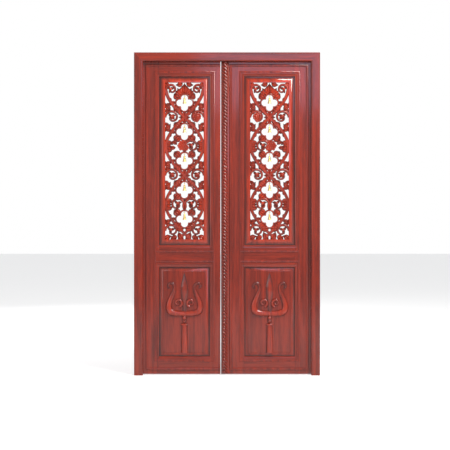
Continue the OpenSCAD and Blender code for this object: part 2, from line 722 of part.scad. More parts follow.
// Flap with its knuckles, on the side x > 0 of the hinge axis, with the given turns of the five knuckles
module flap(h, turns) {
    step = hinge_h / 5;
    difference() {
        union() {
            translate([side_gap / 2, -flap_w - (hinge_y - y_back), -hinge_h / 2])
                cube([flap_t, flap_w + (hinge_y - y_back) - knuckle_r - knuckle_gap, hinge_h]);
            for (k = turns) translate([0, 0, -hinge_h / 2 + k * step + knuckle_gap / 2]) {
                cylinder(h = step - knuckle_gap, r = knuckle_r);
                translate([side_gap / 2, -knuckle_r - 2 * knuckle_gap, 0])
                    cube([flap_t, knuckle_r + 2 * knuckle_gap, step - knuckle_gap]);
            }
        }
        translate([0, 0, -hinge_h]) cylinder(h = 2 * hinge_h, r = pin_r + pin_play);
        translate([side_gap / 2, y_leaf - hinge_y, -hinge_z(h)]) flap_screws(h) screw_sink();
    }
}

module leaf_flap(side, h) {
    color(BRASS) on_side(side) translate([-hinge_x, hinge_y, floor_gap + hinge_z(h)]) flap(h, [1, 3]);
}

module frame_flap(side, h) {
    color(BRASS) on_side(side) translate([-hinge_x, hinge_y, floor_gap + hinge_z(h)])
        mirror([1, 0, 0]) flap(h, [0, 2, 4]);
}

module hinge_pins(side) {
    color(BRASS) on_side(side) for (h = HINGES) translate([-hinge_x, hinge_y, floor_gap + hinge_z(h)]) {
        translate([0, 0, -hinge_h / 2]) cylinder(h = hinge_h, r = pin_r);
        for (up = [0, 1]) mirror([0, 0, up]) translate([0, 0, hinge_h / 2]) {
            cylinder(h = 2, r = knuckle_r);
            translate([0, 0, 4]) sphere(knuckle_r * 0.75);
        }
    }
}

module leaf_screws(side) {
    color(BRASS) {
        on_leaf(side) for (h = HINGES) flap_screws(h) screw();
        if (side == "left") on_leaf("left") cross_bolt_screw_places() screw();
        if (side == "right") on_leaf("right") right_bolt_screw_places() screw();
    }
}

module frame_screws() {
    color(BRASS) {
        for (side = SIDES) on_side(side) translate([-edge_x - side_gap, y_leaf, floor_gap])
            mirror([1, 0, 0]) for (h = HINGES) flap_screws(h) screw();
        top_keeper_screws() screw();
    }
}

// Bell on its loop, measured from the hole's centre, and the eye that it hangs from
crown_r = bell_r * 0.42;
crown_h = bell_h * 0.05;
function bell_curve(inset) = [for (t = [0 : 0.125 : 1])
    [crown_r + (bell_r - crown_r) * pow(t, 2.2) - inset, -crown_h - (bell_h - crown_h) * t]];

module bell_ring(turn) {
    rotate([90, 0, turn]) rotate_extrude() translate([ring_r, 0]) circle(wire_r, $fn = 24);
}

module bell(side, k) {
    outer = bell_curve(0);
    inner = [for (i = [8 : -1 : 0]) bell_curve(bell_wall)[i]];
    color(BRASS) on_leaf(side) translate([open_mid, bell_y, carve_mid_z + hole_z(k)]) {
        translate([0, 0, loop_z]) bell_ring(90);
        translate([0, 0, crown_z]) {
            rotate_extrude() polygon(concat([[0, wire_r / 2], [crown_r / 2, wire_r / 3]], outer, inner,
                [[0, -crown_h - bell_wall]]));
            translate([0, 0, -bell_h * 0.95]) cylinder(h = bell_h * 0.9, r = bell_wall * 0.6);
            translate([0, 0, -bell_h * 0.925]) sphere(bell_r / 4);
        }
    }
}

module bell_eyes(side) {
    color(BRASS) on_leaf(side) for (k = BELLS)
        translate([open_mid, bell_y, carve_mid_z + hole_z(k) + eye_z]) {
            bell_ring(0);
            translate([0, 0, ring_r]) cylinder(h = eye_drop - ring_r + shank_l, r = wire_r);
        }
}

// Tower bolt along +Z: plate against the leaf's back at y = 0, rod axis behind it
module bolt_plate() {
    guide_w = 2 * (rod_r + guide_wall);
    difference() {
        union() {
            translate([-plate_w / 2, 0, 0]) cube([plate_w, plate_t, plate_l]);
            for (z = bolt_guides()) translate([0, 0, z]) {
                translate([-guide_w / 2, 0, 0]) cube([guide_w, rod_axis_y, guide_l]);
                translate([0, rod_axis_y, 0]) cylinder(h = guide_l, r = rod_r + guide_wall);
            }
        }
        translate([0, rod_axis_y, -EPS]) cylinder(h = plate_l + 2 * EPS, r = rod_r + rod_play);
        plate_screws() screw_sink();
    }
}

function bolt_guides() = [4, plate_l / 2 - guide_l / 2 + 12, plate_l - guide_l - 4];

// Four screws of a bolt's plate, along -Y into the wood
module plate_screws() {
    for (z = [plate_l * 0.26, plate_l * 0.74]) for (x = [-1, 1])
        translate([x * (plate_w / 2 - screw_head_r - 1), plate_t, z]) rotate([0, 0, -90]) children();
}

module bolt_rod() {
    translate([0, rod_axis_y, 2]) cylinder(h = plate_l - 4, r = rod_r);
    translate([0, rod_axis_y, bolt_guides()[0] + guide_l + rod_r + 2]) rotate([-90, 0, 0]) {
        cylinder(h = rod_r + knob_l - 4, r = rod_r * 0.7);
        translate([0, 0, rod_r + knob_l - 4 - knob_r * 0.6]) cylinder(h = 4 + knob_r * 0.6, r = knob_r);
    }
}

// Loop that takes a bolt's tip, with two screws
module bolt_keeper() {
    guide_w = 2 * (rod_r + guide_wall);
    difference() {
        union() {
            translate([-plate_w / 2, 0, 0]) cube([plate_w, plate_t, 2 * guide_l]);
            translate([-guide_w / 2, 0, guide_l / 2]) cube([guide_w, rod_axis_y, guide_l]);
            translate([0, rod_axis_y, guide_l / 2]) cylinder(h = guide_l, r = rod_r + guide_wall);
        }
        translate([0, rod_axis_y, -EPS]) cylinder(h = 2 * guide_l + 2 * EPS, r = rod_r + keeper_play);
        keeper_screws() screw_sink();
    }
}

module keeper_screws() {
    for (x = [-1, 1])
        translate([x * (plate_w / 2 - screw_head_r - 1), plate_t, guide_l]) rotate([0, 0, -90]) children();
}

// Places of the bolts on the backs of the leaves and of the head
bolt_x = leaf_w("right") - bolt_inset;
top_plate_z = leaf_h - plate_l - keeper_gap;
cross_tip_x = leaf_w("left") - keeper_gap;

module at_top_bolt() {
    translate([bolt_x, leaf_t, top_plate_z]) children();
}

module at_bottom_bolt() {
    translate([bolt_x, leaf_t, plate_l + keeper_gap]) rotate([0, 180, 0]) children();
}

module at_cross_bolt() {
    translate([cross_tip_x - plate_l, leaf_t, mid_bolt_z]) rotate([0, 90, 0]) children();
}

module at_cross_keeper() {
    translate([leaf_w("right") - keeper_gap, leaf_t, mid_bolt_z]) rotate([0, -90, 0]) children();
}

module at_top_keeper() {
    on_leaf("right") translate([bolt_x, leaf_t, leaf_h + side_gap + keeper_gap]) children();
}

module cross_bolt_screw_places() {
    at_cross_bolt() plate_screws() children();
}

module cross_bolt_screw_holes() {
    cross_bolt_screw_places() screw_hole();
}

module right_bolt_screw_places() {
    at_top_bolt() plate_screws() children();
    at_bottom_bolt() plate_screws() children();
    at_cross_keeper() keeper_screws() children();
}

module top_keeper_screws() {
    at_top_keeper() keeper_screws() children();
}

module top_bolt_plate() { color(STEEL) on_leaf("right") at_top_bolt() bolt_plate(); }
module top_bolt_rod() { color(STEEL) on_leaf("right") at_top_bolt() bolt_rod(); }
module top_bolt_keeper() { color(STEEL) at_top_keeper() bolt_keeper(); }
module bottom_bolt_plate() { color(STEEL) on_leaf("right") at_bottom_bolt() bolt_plate(); }
module bottom_bolt_rod() { color(STEEL) on_leaf("right") at_bottom_bolt() bolt_rod(); }
module cross_bolt_plate() { color(STEEL) on_leaf("left") at_cross_bolt() bolt_plate(); }
module cross_bolt_rod() { color(STEEL) on_leaf("left") at_cross_bolt() bolt_rod(); }
module cross_bolt_keeper() { color(STEEL) on_leaf("right") at_cross_keeper() bolt_keeper(); }

for (side = SIDES) {
    jamb(side);
    hinge_pins(side);
    hinge_stile(side);
    meeting_stile(side);
    for (name = RAILS) rail(side, name);
    carved_panel(side);
    trident_panel(side);
    edge_bead(side);
    panel_bead(side);
    bell_eyes(side);
    leaf_screws(side);
    for (h = HINGES) frame_flap(side, h);
    for (h = HINGES) leaf_flap(side, h);
    for (k = BELLS) bell(side, k);
}
frame_head();
frame_screws();
rope_batten();
top_bolt_plate();
top_bolt_rod();
top_bolt_keeper();
bottom_bolt_plate();
bottom_bolt_rod();
cross_bolt_plate();
cross_bolt_rod();
cross_bolt_keeper();
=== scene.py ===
import json
from math import cos, pi, radians, sin, sqrt

import bmesh
import bpy
from bpy.props import FloatProperty, FloatVectorProperty, IntProperty, PointerProperty
from bpy.types import Operator, Panel, PropertyGroup
from mathutils import Matrix, Vector

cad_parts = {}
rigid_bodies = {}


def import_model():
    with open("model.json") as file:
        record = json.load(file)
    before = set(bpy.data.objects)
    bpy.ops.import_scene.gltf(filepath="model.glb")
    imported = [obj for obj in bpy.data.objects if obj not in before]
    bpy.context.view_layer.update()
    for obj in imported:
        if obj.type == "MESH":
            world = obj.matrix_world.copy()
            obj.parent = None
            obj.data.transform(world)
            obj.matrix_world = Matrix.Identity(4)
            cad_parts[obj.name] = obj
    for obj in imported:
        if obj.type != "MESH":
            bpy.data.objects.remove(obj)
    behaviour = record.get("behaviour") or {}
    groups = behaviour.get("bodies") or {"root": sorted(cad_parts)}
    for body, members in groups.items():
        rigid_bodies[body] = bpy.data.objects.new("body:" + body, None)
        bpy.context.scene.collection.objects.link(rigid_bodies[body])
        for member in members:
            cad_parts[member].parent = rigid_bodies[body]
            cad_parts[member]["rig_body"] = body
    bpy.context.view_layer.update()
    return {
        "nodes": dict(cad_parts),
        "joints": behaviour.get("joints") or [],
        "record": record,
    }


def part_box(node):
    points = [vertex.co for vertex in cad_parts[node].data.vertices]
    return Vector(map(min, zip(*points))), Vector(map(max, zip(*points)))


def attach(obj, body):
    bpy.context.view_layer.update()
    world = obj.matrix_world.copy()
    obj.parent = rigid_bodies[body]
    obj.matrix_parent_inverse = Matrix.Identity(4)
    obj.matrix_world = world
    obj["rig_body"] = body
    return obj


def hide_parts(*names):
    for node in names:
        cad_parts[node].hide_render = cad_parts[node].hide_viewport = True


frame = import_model()

bl_info = {
    "name": "Teak front door",
    "version": (1, 0, 0),
    "blender": (4, 5, 0),
    "location": "View3D > Sidebar > Teak door",
    "description": "Looks of a carved double-leaf teak front door, built round its CAD model",
    "category": "Object",
}

MM = 0.001
SIDES = ("left", "right")
BELLS = (1, 2, 3, 4, 5)
WAYS = (1, -1)

# Points closer than this are merged, and faces that turn by fewer degrees than this are joined
MERGE = 0.01 * MM
JOIN_ANGLE = 0.5

# Width of a panel's tongue, then depths behind the leaf's face: of panel fields, grooves and the vine
TONGUE = 10 * MM
FIELD = 2 * MM
GROOVE = 13.3 * MM
VINE = 13 * MM

# Rounded step from a panel's bevel to its field, in millimetres from their corner
BEVEL_STEP = ((-0.6, -2.2), (0, -1.6), (0.2, -0.3), (0.8, 0))

# Painted shade and painted highlight by depth: stops of (millimetres, level) within a range of millimetres,
# where levels under 1 darken grooves and recesses and levels over 1 lighten the tops
PAINTED_LIGHT_RANGE = 40
VINE_PAINTED_LIGHT = ((4.6, 1.8), (6.4, 1.2), (9, 0.65), (12.5, 0.2), (18, 0.25), (21, 1.0))
GROOVE_PAINTED_LIGHT = ((2.5, 1.0), (6, 1.3), (9, 1.0), (12, 0.25), (14, 0.25), (16, 1.0))

# The trident's painted highlight and painted shade start in front of the face, and the groove's painted
# shade and highlight follow behind them
RELIEF_RISE = 16
RELIEF_PAINTED_LIGHT = ((3.5, 1.55), (7, 1.2), (11.5, 0.75), (14.5, 0.4), (17.2, 0.25), (17.8, 1.0))
RELIEF_PAINTED_LIGHT += tuple((at + RELIEF_RISE, level) for at, level in GROOVE_PAINTED_LIGHT)

# The noise's scale along the grain, and the tarnish's colour and roughness as parts of the metal's
GRAIN_STRETCH = 0.045
TARNISH_DARK = 0.66
TARNISH_DULL = 1.4

# Radius at the inner end of every scroll, in millimetres
SCROLL_END = 9


# Settings


class TeakFinish(PropertyGroup):
    """Colours and gloss of the lacquered teak"""

    dark: FloatVectorProperty(
        name="Dark grain",
        description="Colour of dark grain",
        subtype="COLOR",
        default=(0.077, 0.0049, 0.0017),
    )
    light: FloatVectorProperty(
        name="Light grain",
        description="Colour of light grain",
        subtype="COLOR",
        default=(0.350, 0.024, 0.0042),
    )
    roughness: FloatProperty(
        name="Wood roughness", description="Roughness under the lacquer", subtype="FACTOR", default=0.38
    )
    lacquer: FloatProperty(
        name="Lacquer", description="Strength of the lacquer coat", subtype="FACTOR", default=0.95
    )
    lacquer_roughness: FloatProperty(
        name="Lacquer roughness", description="Roughness of the lacquer", subtype="FACTOR", default=0.10
    )
    edge_round: FloatProperty(
        name="Edge rounding", description="Rounding of the members' edges", unit="LENGTH", default=1.2 * MM
    )


class MetalFinish(PropertyGroup):
    """Colours and gloss of the bells, hinges and bolts"""

    bell_brass: FloatVectorProperty(
        name="Bell brass", description="Colour of the bells", subtype="COLOR", default=(0.74, 0.50, 0.18)
    )
    bell_roughness: FloatProperty(
        name="Bell roughness", description="Roughness of the bells", subtype="FACTOR", default=0.18
    )
    hinge_brass: FloatVectorProperty(
        name="Hinge brass", description="Colour of the hinges", subtype="COLOR", default=(0.66, 0.47, 0.21)
    )
    hinge_roughness: FloatProperty(
        name="Hinge roughness", description="Roughness of the hinges", subtype="FACTOR", default=0.32
    )
    bolt_steel: FloatVectorProperty(
        name="Bolt steel", description="Colour of the bolts", subtype="COLOR", default=(0.50, 0.48, 0.45)
    )
    bolt_roughness: FloatProperty(
        name="Bolt roughness", description="Roughness of the bolts", subtype="FACTOR", default=0.36
    )


class Carving(PropertyGroup):
    """Sizes of the pierced vine carving, the trident and the rope"""

    bevel: FloatProperty(
        name="Panel bevel", description="Width of the raised panel's bevel", unit="LENGTH", default=24 * MM
    )
    border: FloatProperty(
        name="Border", description="Flat border round the pierced carving", unit="LENGTH", default=16 * MM
    )
    stem: FloatProperty(name="Stem", description="Width of the main stems", unit="LENGTH", default=23 * MM)
    scroll: FloatProperty(
        name="Scroll", description="Width of the side scrolls", unit="LENGTH", default=19 * MM
    )
    grape: FloatProperty(name="Grape", description="Radius of a grape", unit="LENGTH", default=8 * MM)
    relief: FloatProperty(
        name="Trident relief", description="Height of the trident's shaft", unit="LENGTH", default=14.5 * MM
    )
    strand_pitch: FloatProperty(
        name="Strand pitch", description="Rise from strand to strand", unit="LENGTH", default=22 * MM
    )
    detail: IntProperty(name="Detail", description="Points along a full turn of a scroll", default=32)


class Studio(PropertyGroup):
    """Camera and lights"""

    distance: FloatProperty(
        name="Camera distance", description="From the camera to the leaves", unit="LENGTH", default=7.15
    )
    height: FloatProperty(
        name="Camera height", description="Height of the camera", unit="LENGTH", default=1.0085
    )
    offset: FloatProperty(
        name="Camera offset", description="Sideways place of the camera", unit="LENGTH", default=-13.5 * MM
    )
    lens: FloatProperty(name="Lens", description="Focal length", unit="CAMERA", default=85.0)
    key: FloatProperty(name="Key light", description="Power of the key light", unit="POWER", default=370.0)
    fill: FloatProperty(
        name="Fill light", description="Power of the fill light", unit="POWER", default=45.0
    )
    back: FloatProperty(
        name="Back light", description="Power of the light behind", unit="POWER", default=110.0
    )
    sheen: FloatProperty(
        name="Sheen", description="Strength of the card that the lacquer reflects", default=3.4
    )
    ambient: FloatProperty(name="Ambient", description="Strength of the even light", default=0.24)


# Materials


def material(name, **values):
    """A material with inputs set on its shader, then its node tree and the shader."""
    mat = bpy.data.materials.new(name)
    mat.use_nodes = True
    shader = mat.node_tree.nodes["Principled BSDF"]
    for socket, value in values.items():
        shader.inputs[socket.replace("_", " ")].default_value = value
    return mat, mat.node_tree, shader


def feed(tree, socket, value):
    """Links another node's output to a socket, or sets the socket's value."""
    if isinstance(value, bpy.types.NodeSocket):
        tree.links.new(value, socket)
    else:
        socket.default_value = value


def add(tree, kind, *inputs, **values):
    """A node with its settings and inputs. Inputs without a name go to its sockets in order."""
    node = tree.nodes.new(kind)
    for name, value in values.items():
        if name in node.bl_rna.properties:
            setattr(node, name, value)
        else:
            feed(tree, node.inputs[name.replace("_", " ")], value)
    for socket, value in zip(node.inputs, inputs):
        feed(tree, socket, value)
    return node


def ramp(tree, factor, stops):
    """Colour that a factor leads through stops of (position, colour)."""
    node = add(tree, "ShaderNodeValToRGB", Fac=factor)
    elements = node.color_ramp.elements
    for element, (at, colour) in zip(elements, stops):
        element.position = at
        element.color = (*colour, 1)
    for at, colour in stops[2:]:
        elements.new(at).color = (*colour, 1)
    return node.outputs["Color"]


def mapped(tree, value, old, new=(0.0, 1.0)):
    """Value brought from its old range into a new one."""
    limits = dict(From_Min=old[0], From_Max=old[1], To_Min=new[0], To_Max=new[1])
    node = add(tree, "ShaderNodeMapRange", Value=value, **limits)
    return node.outputs["Result"]


def grain(tree, coords, stretch, scale, detail, distortion):
    """Noise stretched along the grain."""
    mapping = add(tree, "ShaderNodeMapping", Vector=coords, Scale=[scale * part for part in stretch])
    look = dict(Scale=1.0, Detail=detail, Roughness=0.62, Distortion=distortion)
    noise = add(tree, "ShaderNodeTexNoise", Vector=mapping.outputs["Vector"], **look)
    return noise.outputs["Fac"]


def painted_light_by_depth(tree, coords, colour, face, stops):
    """Colour times a level of painted shade and painted highlight that goes by the depth behind a face."""
    parts = add(tree, "ShaderNodeSeparateXYZ", Vector=coords)
    depth = mapped(tree, parts.outputs["Y"], (face, face + PAINTED_LIGHT_RANGE * MM))
    levels = ramp(tree, depth, [(at / PAINTED_LIGHT_RANGE, (level, level, level)) for at, level in stops])
    product = add(tree, "ShaderNodeVectorMath", colour, levels, operation="MULTIPLY")
    return product.outputs["Vector"]


def teak(name, along, painted_depths=None):
    """Lacquered teak with its grain along X or Z, with painted shade and painted highlight by depths of
    (face, stops) if given.
    """
    if name in bpy.data.materials:
        return bpy.data.materials[name]
    look = bpy.context.scene.teak_finish
    mat, tree, shader = material(
        name,
        Roughness=look.roughness,
        Specular_IOR_Level=0.0,
        Coat_Weight=look.lacquer,
        Coat_Roughness=look.lacquer_roughness,
        Coat_IOR=1.5,
    )
    coords = add(tree, "ShaderNodeTexCoord").outputs["Object"]
    stretch = (1, 1, GRAIN_STRETCH) if along == "Z" else (GRAIN_STRETCH, 1, 1)
    broad = grain(tree, coords, stretch, scale=34, detail=3.0, distortion=0.8)
    fine = grain(tree, coords, stretch, scale=330, detail=4.0, distortion=0.2)
    both = add(tree, "ShaderNodeMix", data_type="FLOAT", Factor=0.38, A=broad, B=fine)
    colour = ramp(tree, both.outputs["Result"], ((0.30, look.dark), (0.68, look.light)))
    if painted_depths:
        # Painted shade in deep parts and painted highlight on proud parts, by depth
        colour = painted_light_by_depth(tree, coords, colour, *painted_depths)
    tree.links.new(colour, shader.inputs["Base Color"])
    waves = add(tree, "ShaderNodeTexNoise", Vector=coords, Scale=9.0, Detail=2.0)
    bump = add(tree, "ShaderNodeBump", Height=waves.outputs["Fac"], Strength=0.05, Distance=0.004)
    tree.links.new(bump.outputs["Normal"], shader.inputs["Coat Normal"])
    return mat


def metal(name, colour, roughness):
    """Metal with faint tarnish, which is darker and duller."""
    mat, tree, shader = material(name, Metallic=1.0)
    coords = add(tree, "ShaderNodeTexCoord").outputs["Object"]
    noise = add(tree, "ShaderNodeTexNoise", Vector=coords, Scale=130.0, Detail=5.0, Roughness=0.6)
    polish = noise.outputs["Fac"]
    dark = [TARNISH_DARK * part for part in colour]
    tree.links.new(ramp(tree, polish, ((0.34, dark), (0.52, colour))), shader.inputs["Base Color"])
    dull = mapped(tree, polish, (0.34, 0.6), (TARNISH_DULL * roughness, roughness))
    tree.links.new(dull, shader.inputs["Roughness"])
    return mat


def seen(tree):
    """1 for rays that show the background itself: camera, glossy and transmission rays."""
    path = add(tree, "ShaderNodeLightPath")
    result = path.outputs["Is Camera Ray"]
    for kind in ("Is Glossy Ray", "Is Transmission Ray"):
        either = add(tree, "ShaderNodeMath", result, path.outputs[kind], operation="MAXIMUM")
        result = either.outputs[0]
    return result


# Meshes


def leaf_face():
    """Depth of the leaves' front."""
    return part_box("left_meeting_stile")[0].y


def place(centre, mirrored):
    """Matrix from a panel's own plane (across, up, out of the face) to the shared frame."""
    turn = Matrix.Rotation(radians(90), 4, "X")
    flip = Matrix.Scale(-1, 4, Vector((1, 0, 0))) if mirrored else Matrix.Identity(4)
    return Matrix.Translation(centre) @ flip @ turn


def linked(name, data):
    """An object for this data in the scene."""
    obj = bpy.data.objects.new(name, data)
    bpy.context.scene.collection.objects.link(obj)
    return obj


def as_mesh(name, bm):
    """Turns bm into a mesh and frees it."""
    mesh = bpy.data.meshes.new(name)
    bm.to_mesh(mesh)
    bm.free()
    return mesh


def shade(bm, smooth=True):
    """Makes all faces smooth or flat."""
    for face in bm.faces:
        face.smooth = smooth


def gather(bm, mesh, matrix=Matrix.Identity(4), smooth=True):
    """Adds a mesh to bm through a matrix, with its faces outward, and removes it."""
    mesh.transform(matrix)
    part = bmesh.new()
    part.from_mesh(mesh)
    bmesh.ops.remove_doubles(part, verts=part.verts, dist=MERGE)
    if part.calc_volume(signed=True) < 0:
        bmesh.ops.reverse_faces(part, faces=part.faces)
    shade(part, smooth)
    part.to_mesh(mesh)
    part.free()
    bm.from_mesh(mesh)
    bpy.data.meshes.remove(mesh)


def even(points, closed):
    """A path of even width."""
    return points, [1] * len(points), closed


def curve_object(name, paths, flat):
    """A curve object with one poly spline for each (points, radii, closed) path."""
    data = bpy.data.curves.new(name, "CURVE")
    data.dimensions = "2D" if flat else "3D"
    if flat:
        data.fill_mode = "NONE"
    for points, radii, closed in paths:
        spline = data.splines.new("POLY")
        spline.points.add(len(points) - 1)
        for target, point, radius in zip(spline.points, points, radii):
            target.co = (point[0], point[1], point[2] if len(point) > 2 else 0, 1)
            target.radius = radius
        spline.use_cyclic_u = closed
    return linked(name, data)


def swept(paths, section=None, radius=0, rounds=3):
    """Mesh of paths swept with a closed section of (right, up) points, or with a round one."""
    path = curve_object("path", paths, section is not None)
    path.data.use_fill_caps = True
    used = [path]
    if section is not None:
        profile = curve_object("section", [even(section, True)], True)
        path.data.bevel_mode = "OBJECT"
        path.data.bevel_object = profile
        used.append(profile)
    else:
        path.data.bevel_depth = radius
        path.data.bevel_resolution = rounds
    bpy.context.view_layer.update()
    mesh = bpy.data.meshes.new_from_object(path.evaluated_get(bpy.context.evaluated_depsgraph_get()))
    for obj in used:
        data = obj.data
        bpy.data.objects.remove(obj)
        bpy.data.curves.remove(data)
    return mesh


def finished(name, bm, mat, body, nodes, sharp=35):
    """Turns bm into the piece that stands for these CAD nodes, with edges over sharp degrees kept."""
    bmesh.ops.remove_doubles(bm, verts=bm.verts, dist=MERGE)
    mesh = as_mesh(name, bm)
    if not mesh.polygons:
        raise RuntimeError(f"{name} has no faces")
    if mesh.has_custom_normals:
        mesh.attributes.remove(mesh.attributes["custom_normal"])
    mesh.set_sharp_from_angle(angle=radians(sharp))
    mesh.materials.clear()
    mesh.materials.append(mat)
    for face in mesh.polygons:
        face.material_index = 0
    obj = linked(name, mesh)
    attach(obj, body)
    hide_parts(*nodes)
    return obj


def node_copy(node, smooth=True):
    """A merged copy of a CAD node's mesh, with its flat faces joined."""
    bm = bmesh.new()
    bm.from_mesh(frame["nodes"][node].data)
    bmesh.ops.remove_doubles(bm, verts=bm.verts, dist=MERGE)
    bmesh.ops.dissolve_limit(bm, angle_limit=radians(JOIN_ANGLE), verts=bm.verts, edges=bm.edges)
    bmesh.ops.recalc_face_normals(bm, faces=bm.faces)
    shade(bm, smooth)
    return bm


def soften(bm, width, shortest, least=50):
    """Rounds the edges that are longer than shortest and turn by more than least degrees."""
    edges = []
    for edge in bm.edges:
        if len(edge.link_faces) != 2 or edge.calc_length() <= shortest:
            continue
        if edge.calc_face_angle(0) > radians(least):
            edges.append(edge)
    bmesh.ops.bevel(
        bm,
        geom=edges,
        offset=width,
        offset_type="OFFSET",
        segments=2,
        profile=0.5,
        affect="EDGES",
        clamp_overlap=True,
        material=-1,
    )


def cut(bm, point, normal):
    """Cuts away what lies beyond a plane and closes the cut."""
    geom = list(bm.verts) + list(bm.edges) + list(bm.faces)
    result = bmesh.ops.bisect_plane(bm, geom=geom, plane_co=point, plane_no=normal, clear_outer=True)
    edges = [item for item in result["geom_cut"] if isinstance(item, bmesh.types.BMEdge)]
    bmesh.ops.edgenet_fill(bm, edges=edges)


def ball(bm, centre, radius, squash=1.0):
    """A round boss or grape, squashed from front to back."""
    part = bmesh.new()
    bmesh.ops.create_uvsphere(part, u_segments=16, v_segments=10, radius=radius)
    gather(bm, as_mesh("ball", part), Matrix.Translation(centre) @ Matrix.Diagonal((1, squash, 1, 1)))


def rectangle(left, right, low, high):
    """Closed path round a rectangle, whose section then runs inwards."""
    return even([(left, low), (right, low), (right, high), (left, high)], True)


def half_round(width, height, steps=12):
    """Section of a planted bead, from its outer edge inwards."""
    arc = [pi * i / steps for i in range(steps + 1)]
    return [(width / 2 - width / 2 * cos(angle), height * sin(angle)) for angle in arc]


def both_sides(right, half=1):
    """Closed section from its right side, base first, with widths as parts of a half width."""
    right = [(half * x, y) for x, y in right]
    left = [(-x, y) for x, y in right if x > 0]
    return [left[0], *right, *reversed(left[1:])]


def board(side, node, border):
    """A raised panel's edge: its mesh, the matrix of its plane, and the half sizes inside it."""
    lo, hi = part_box(node)
    face = leaf_face()
    rise = TONGUE + bpy.context.scene.carving.bevel
    inner = rise + border
    back = hi.y - face
    step = [(rise + x * MM, y * MM - FIELD) for x, y in BEVEL_STEP]
    section = [(inner, -back), (0, -back), (0, -GROOVE), (TONGUE, -GROOVE), *step, (inner, -FIELD)]
    half_width = (hi.x - lo.x) / 2
    half_height = (hi.z - lo.z) / 2
    path = rectangle(-half_width, half_width, -half_height, half_height)
    matrix = place(Vector(((lo.x + hi.x) / 2, face, (lo.z + hi.z) / 2)), side == "right")
    bm = bmesh.new()
    gather(bm, swept([path], section), matrix, smooth=False)
    return bm, matrix, half_width - inner, half_height - inner


# Paths of the carving, in millimetres and degrees


def spiral(centre, radius, start, end, fewest=8):
    """Path that winds inwards from one angle to another."""
    steps = max(fewest, int(bpy.context.scene.carving.detail * abs(end - start) / 360))
    points = []
    for i in range(steps + 1):
        part = i / steps
        reach = radius + (SCROLL_END - radius) * part
        angle = radians(start + (end - start) * part)
        points.append((centre[0] + reach * cos(angle), centre[1] + reach * sin(angle)))
    return points


def bent(start, angle, length, bend, steps=9):
    """Path that leaves at an angle and turns by the bend on its way."""
    points = []
    for i in range(steps + 1):
        part = i / steps
        heading = radians(angle + bend * part)
        reach = length * part
        points.append((start[0] + reach * cos(heading), start[1] + reach * sin(heading)))
    return points


def smoothed(points, steps=8):
    """Smooth path through the points."""
    path = []
    last = len(points) - 1
    for i in range(last):
        a, b, c, d = (Vector(points[min(max(i + k, 0), last)]) for k in (-1, 0, 1, 2))
        for j in range(steps):
            t = j / steps
            square, cube = 2 * a - 5 * b + 4 * c - d, 3 * b - a - 3 * c + d
            path.append(tuple(0.5 * (2 * b + (c - a) * t + square * t * t + cube * t**3)))
    return path + [tuple(points[-1])]


def taper(count, start, end):
    """Radii that go evenly from start to end."""
    return [start + (end - start) * i / (count - 1) for i in range(count)]


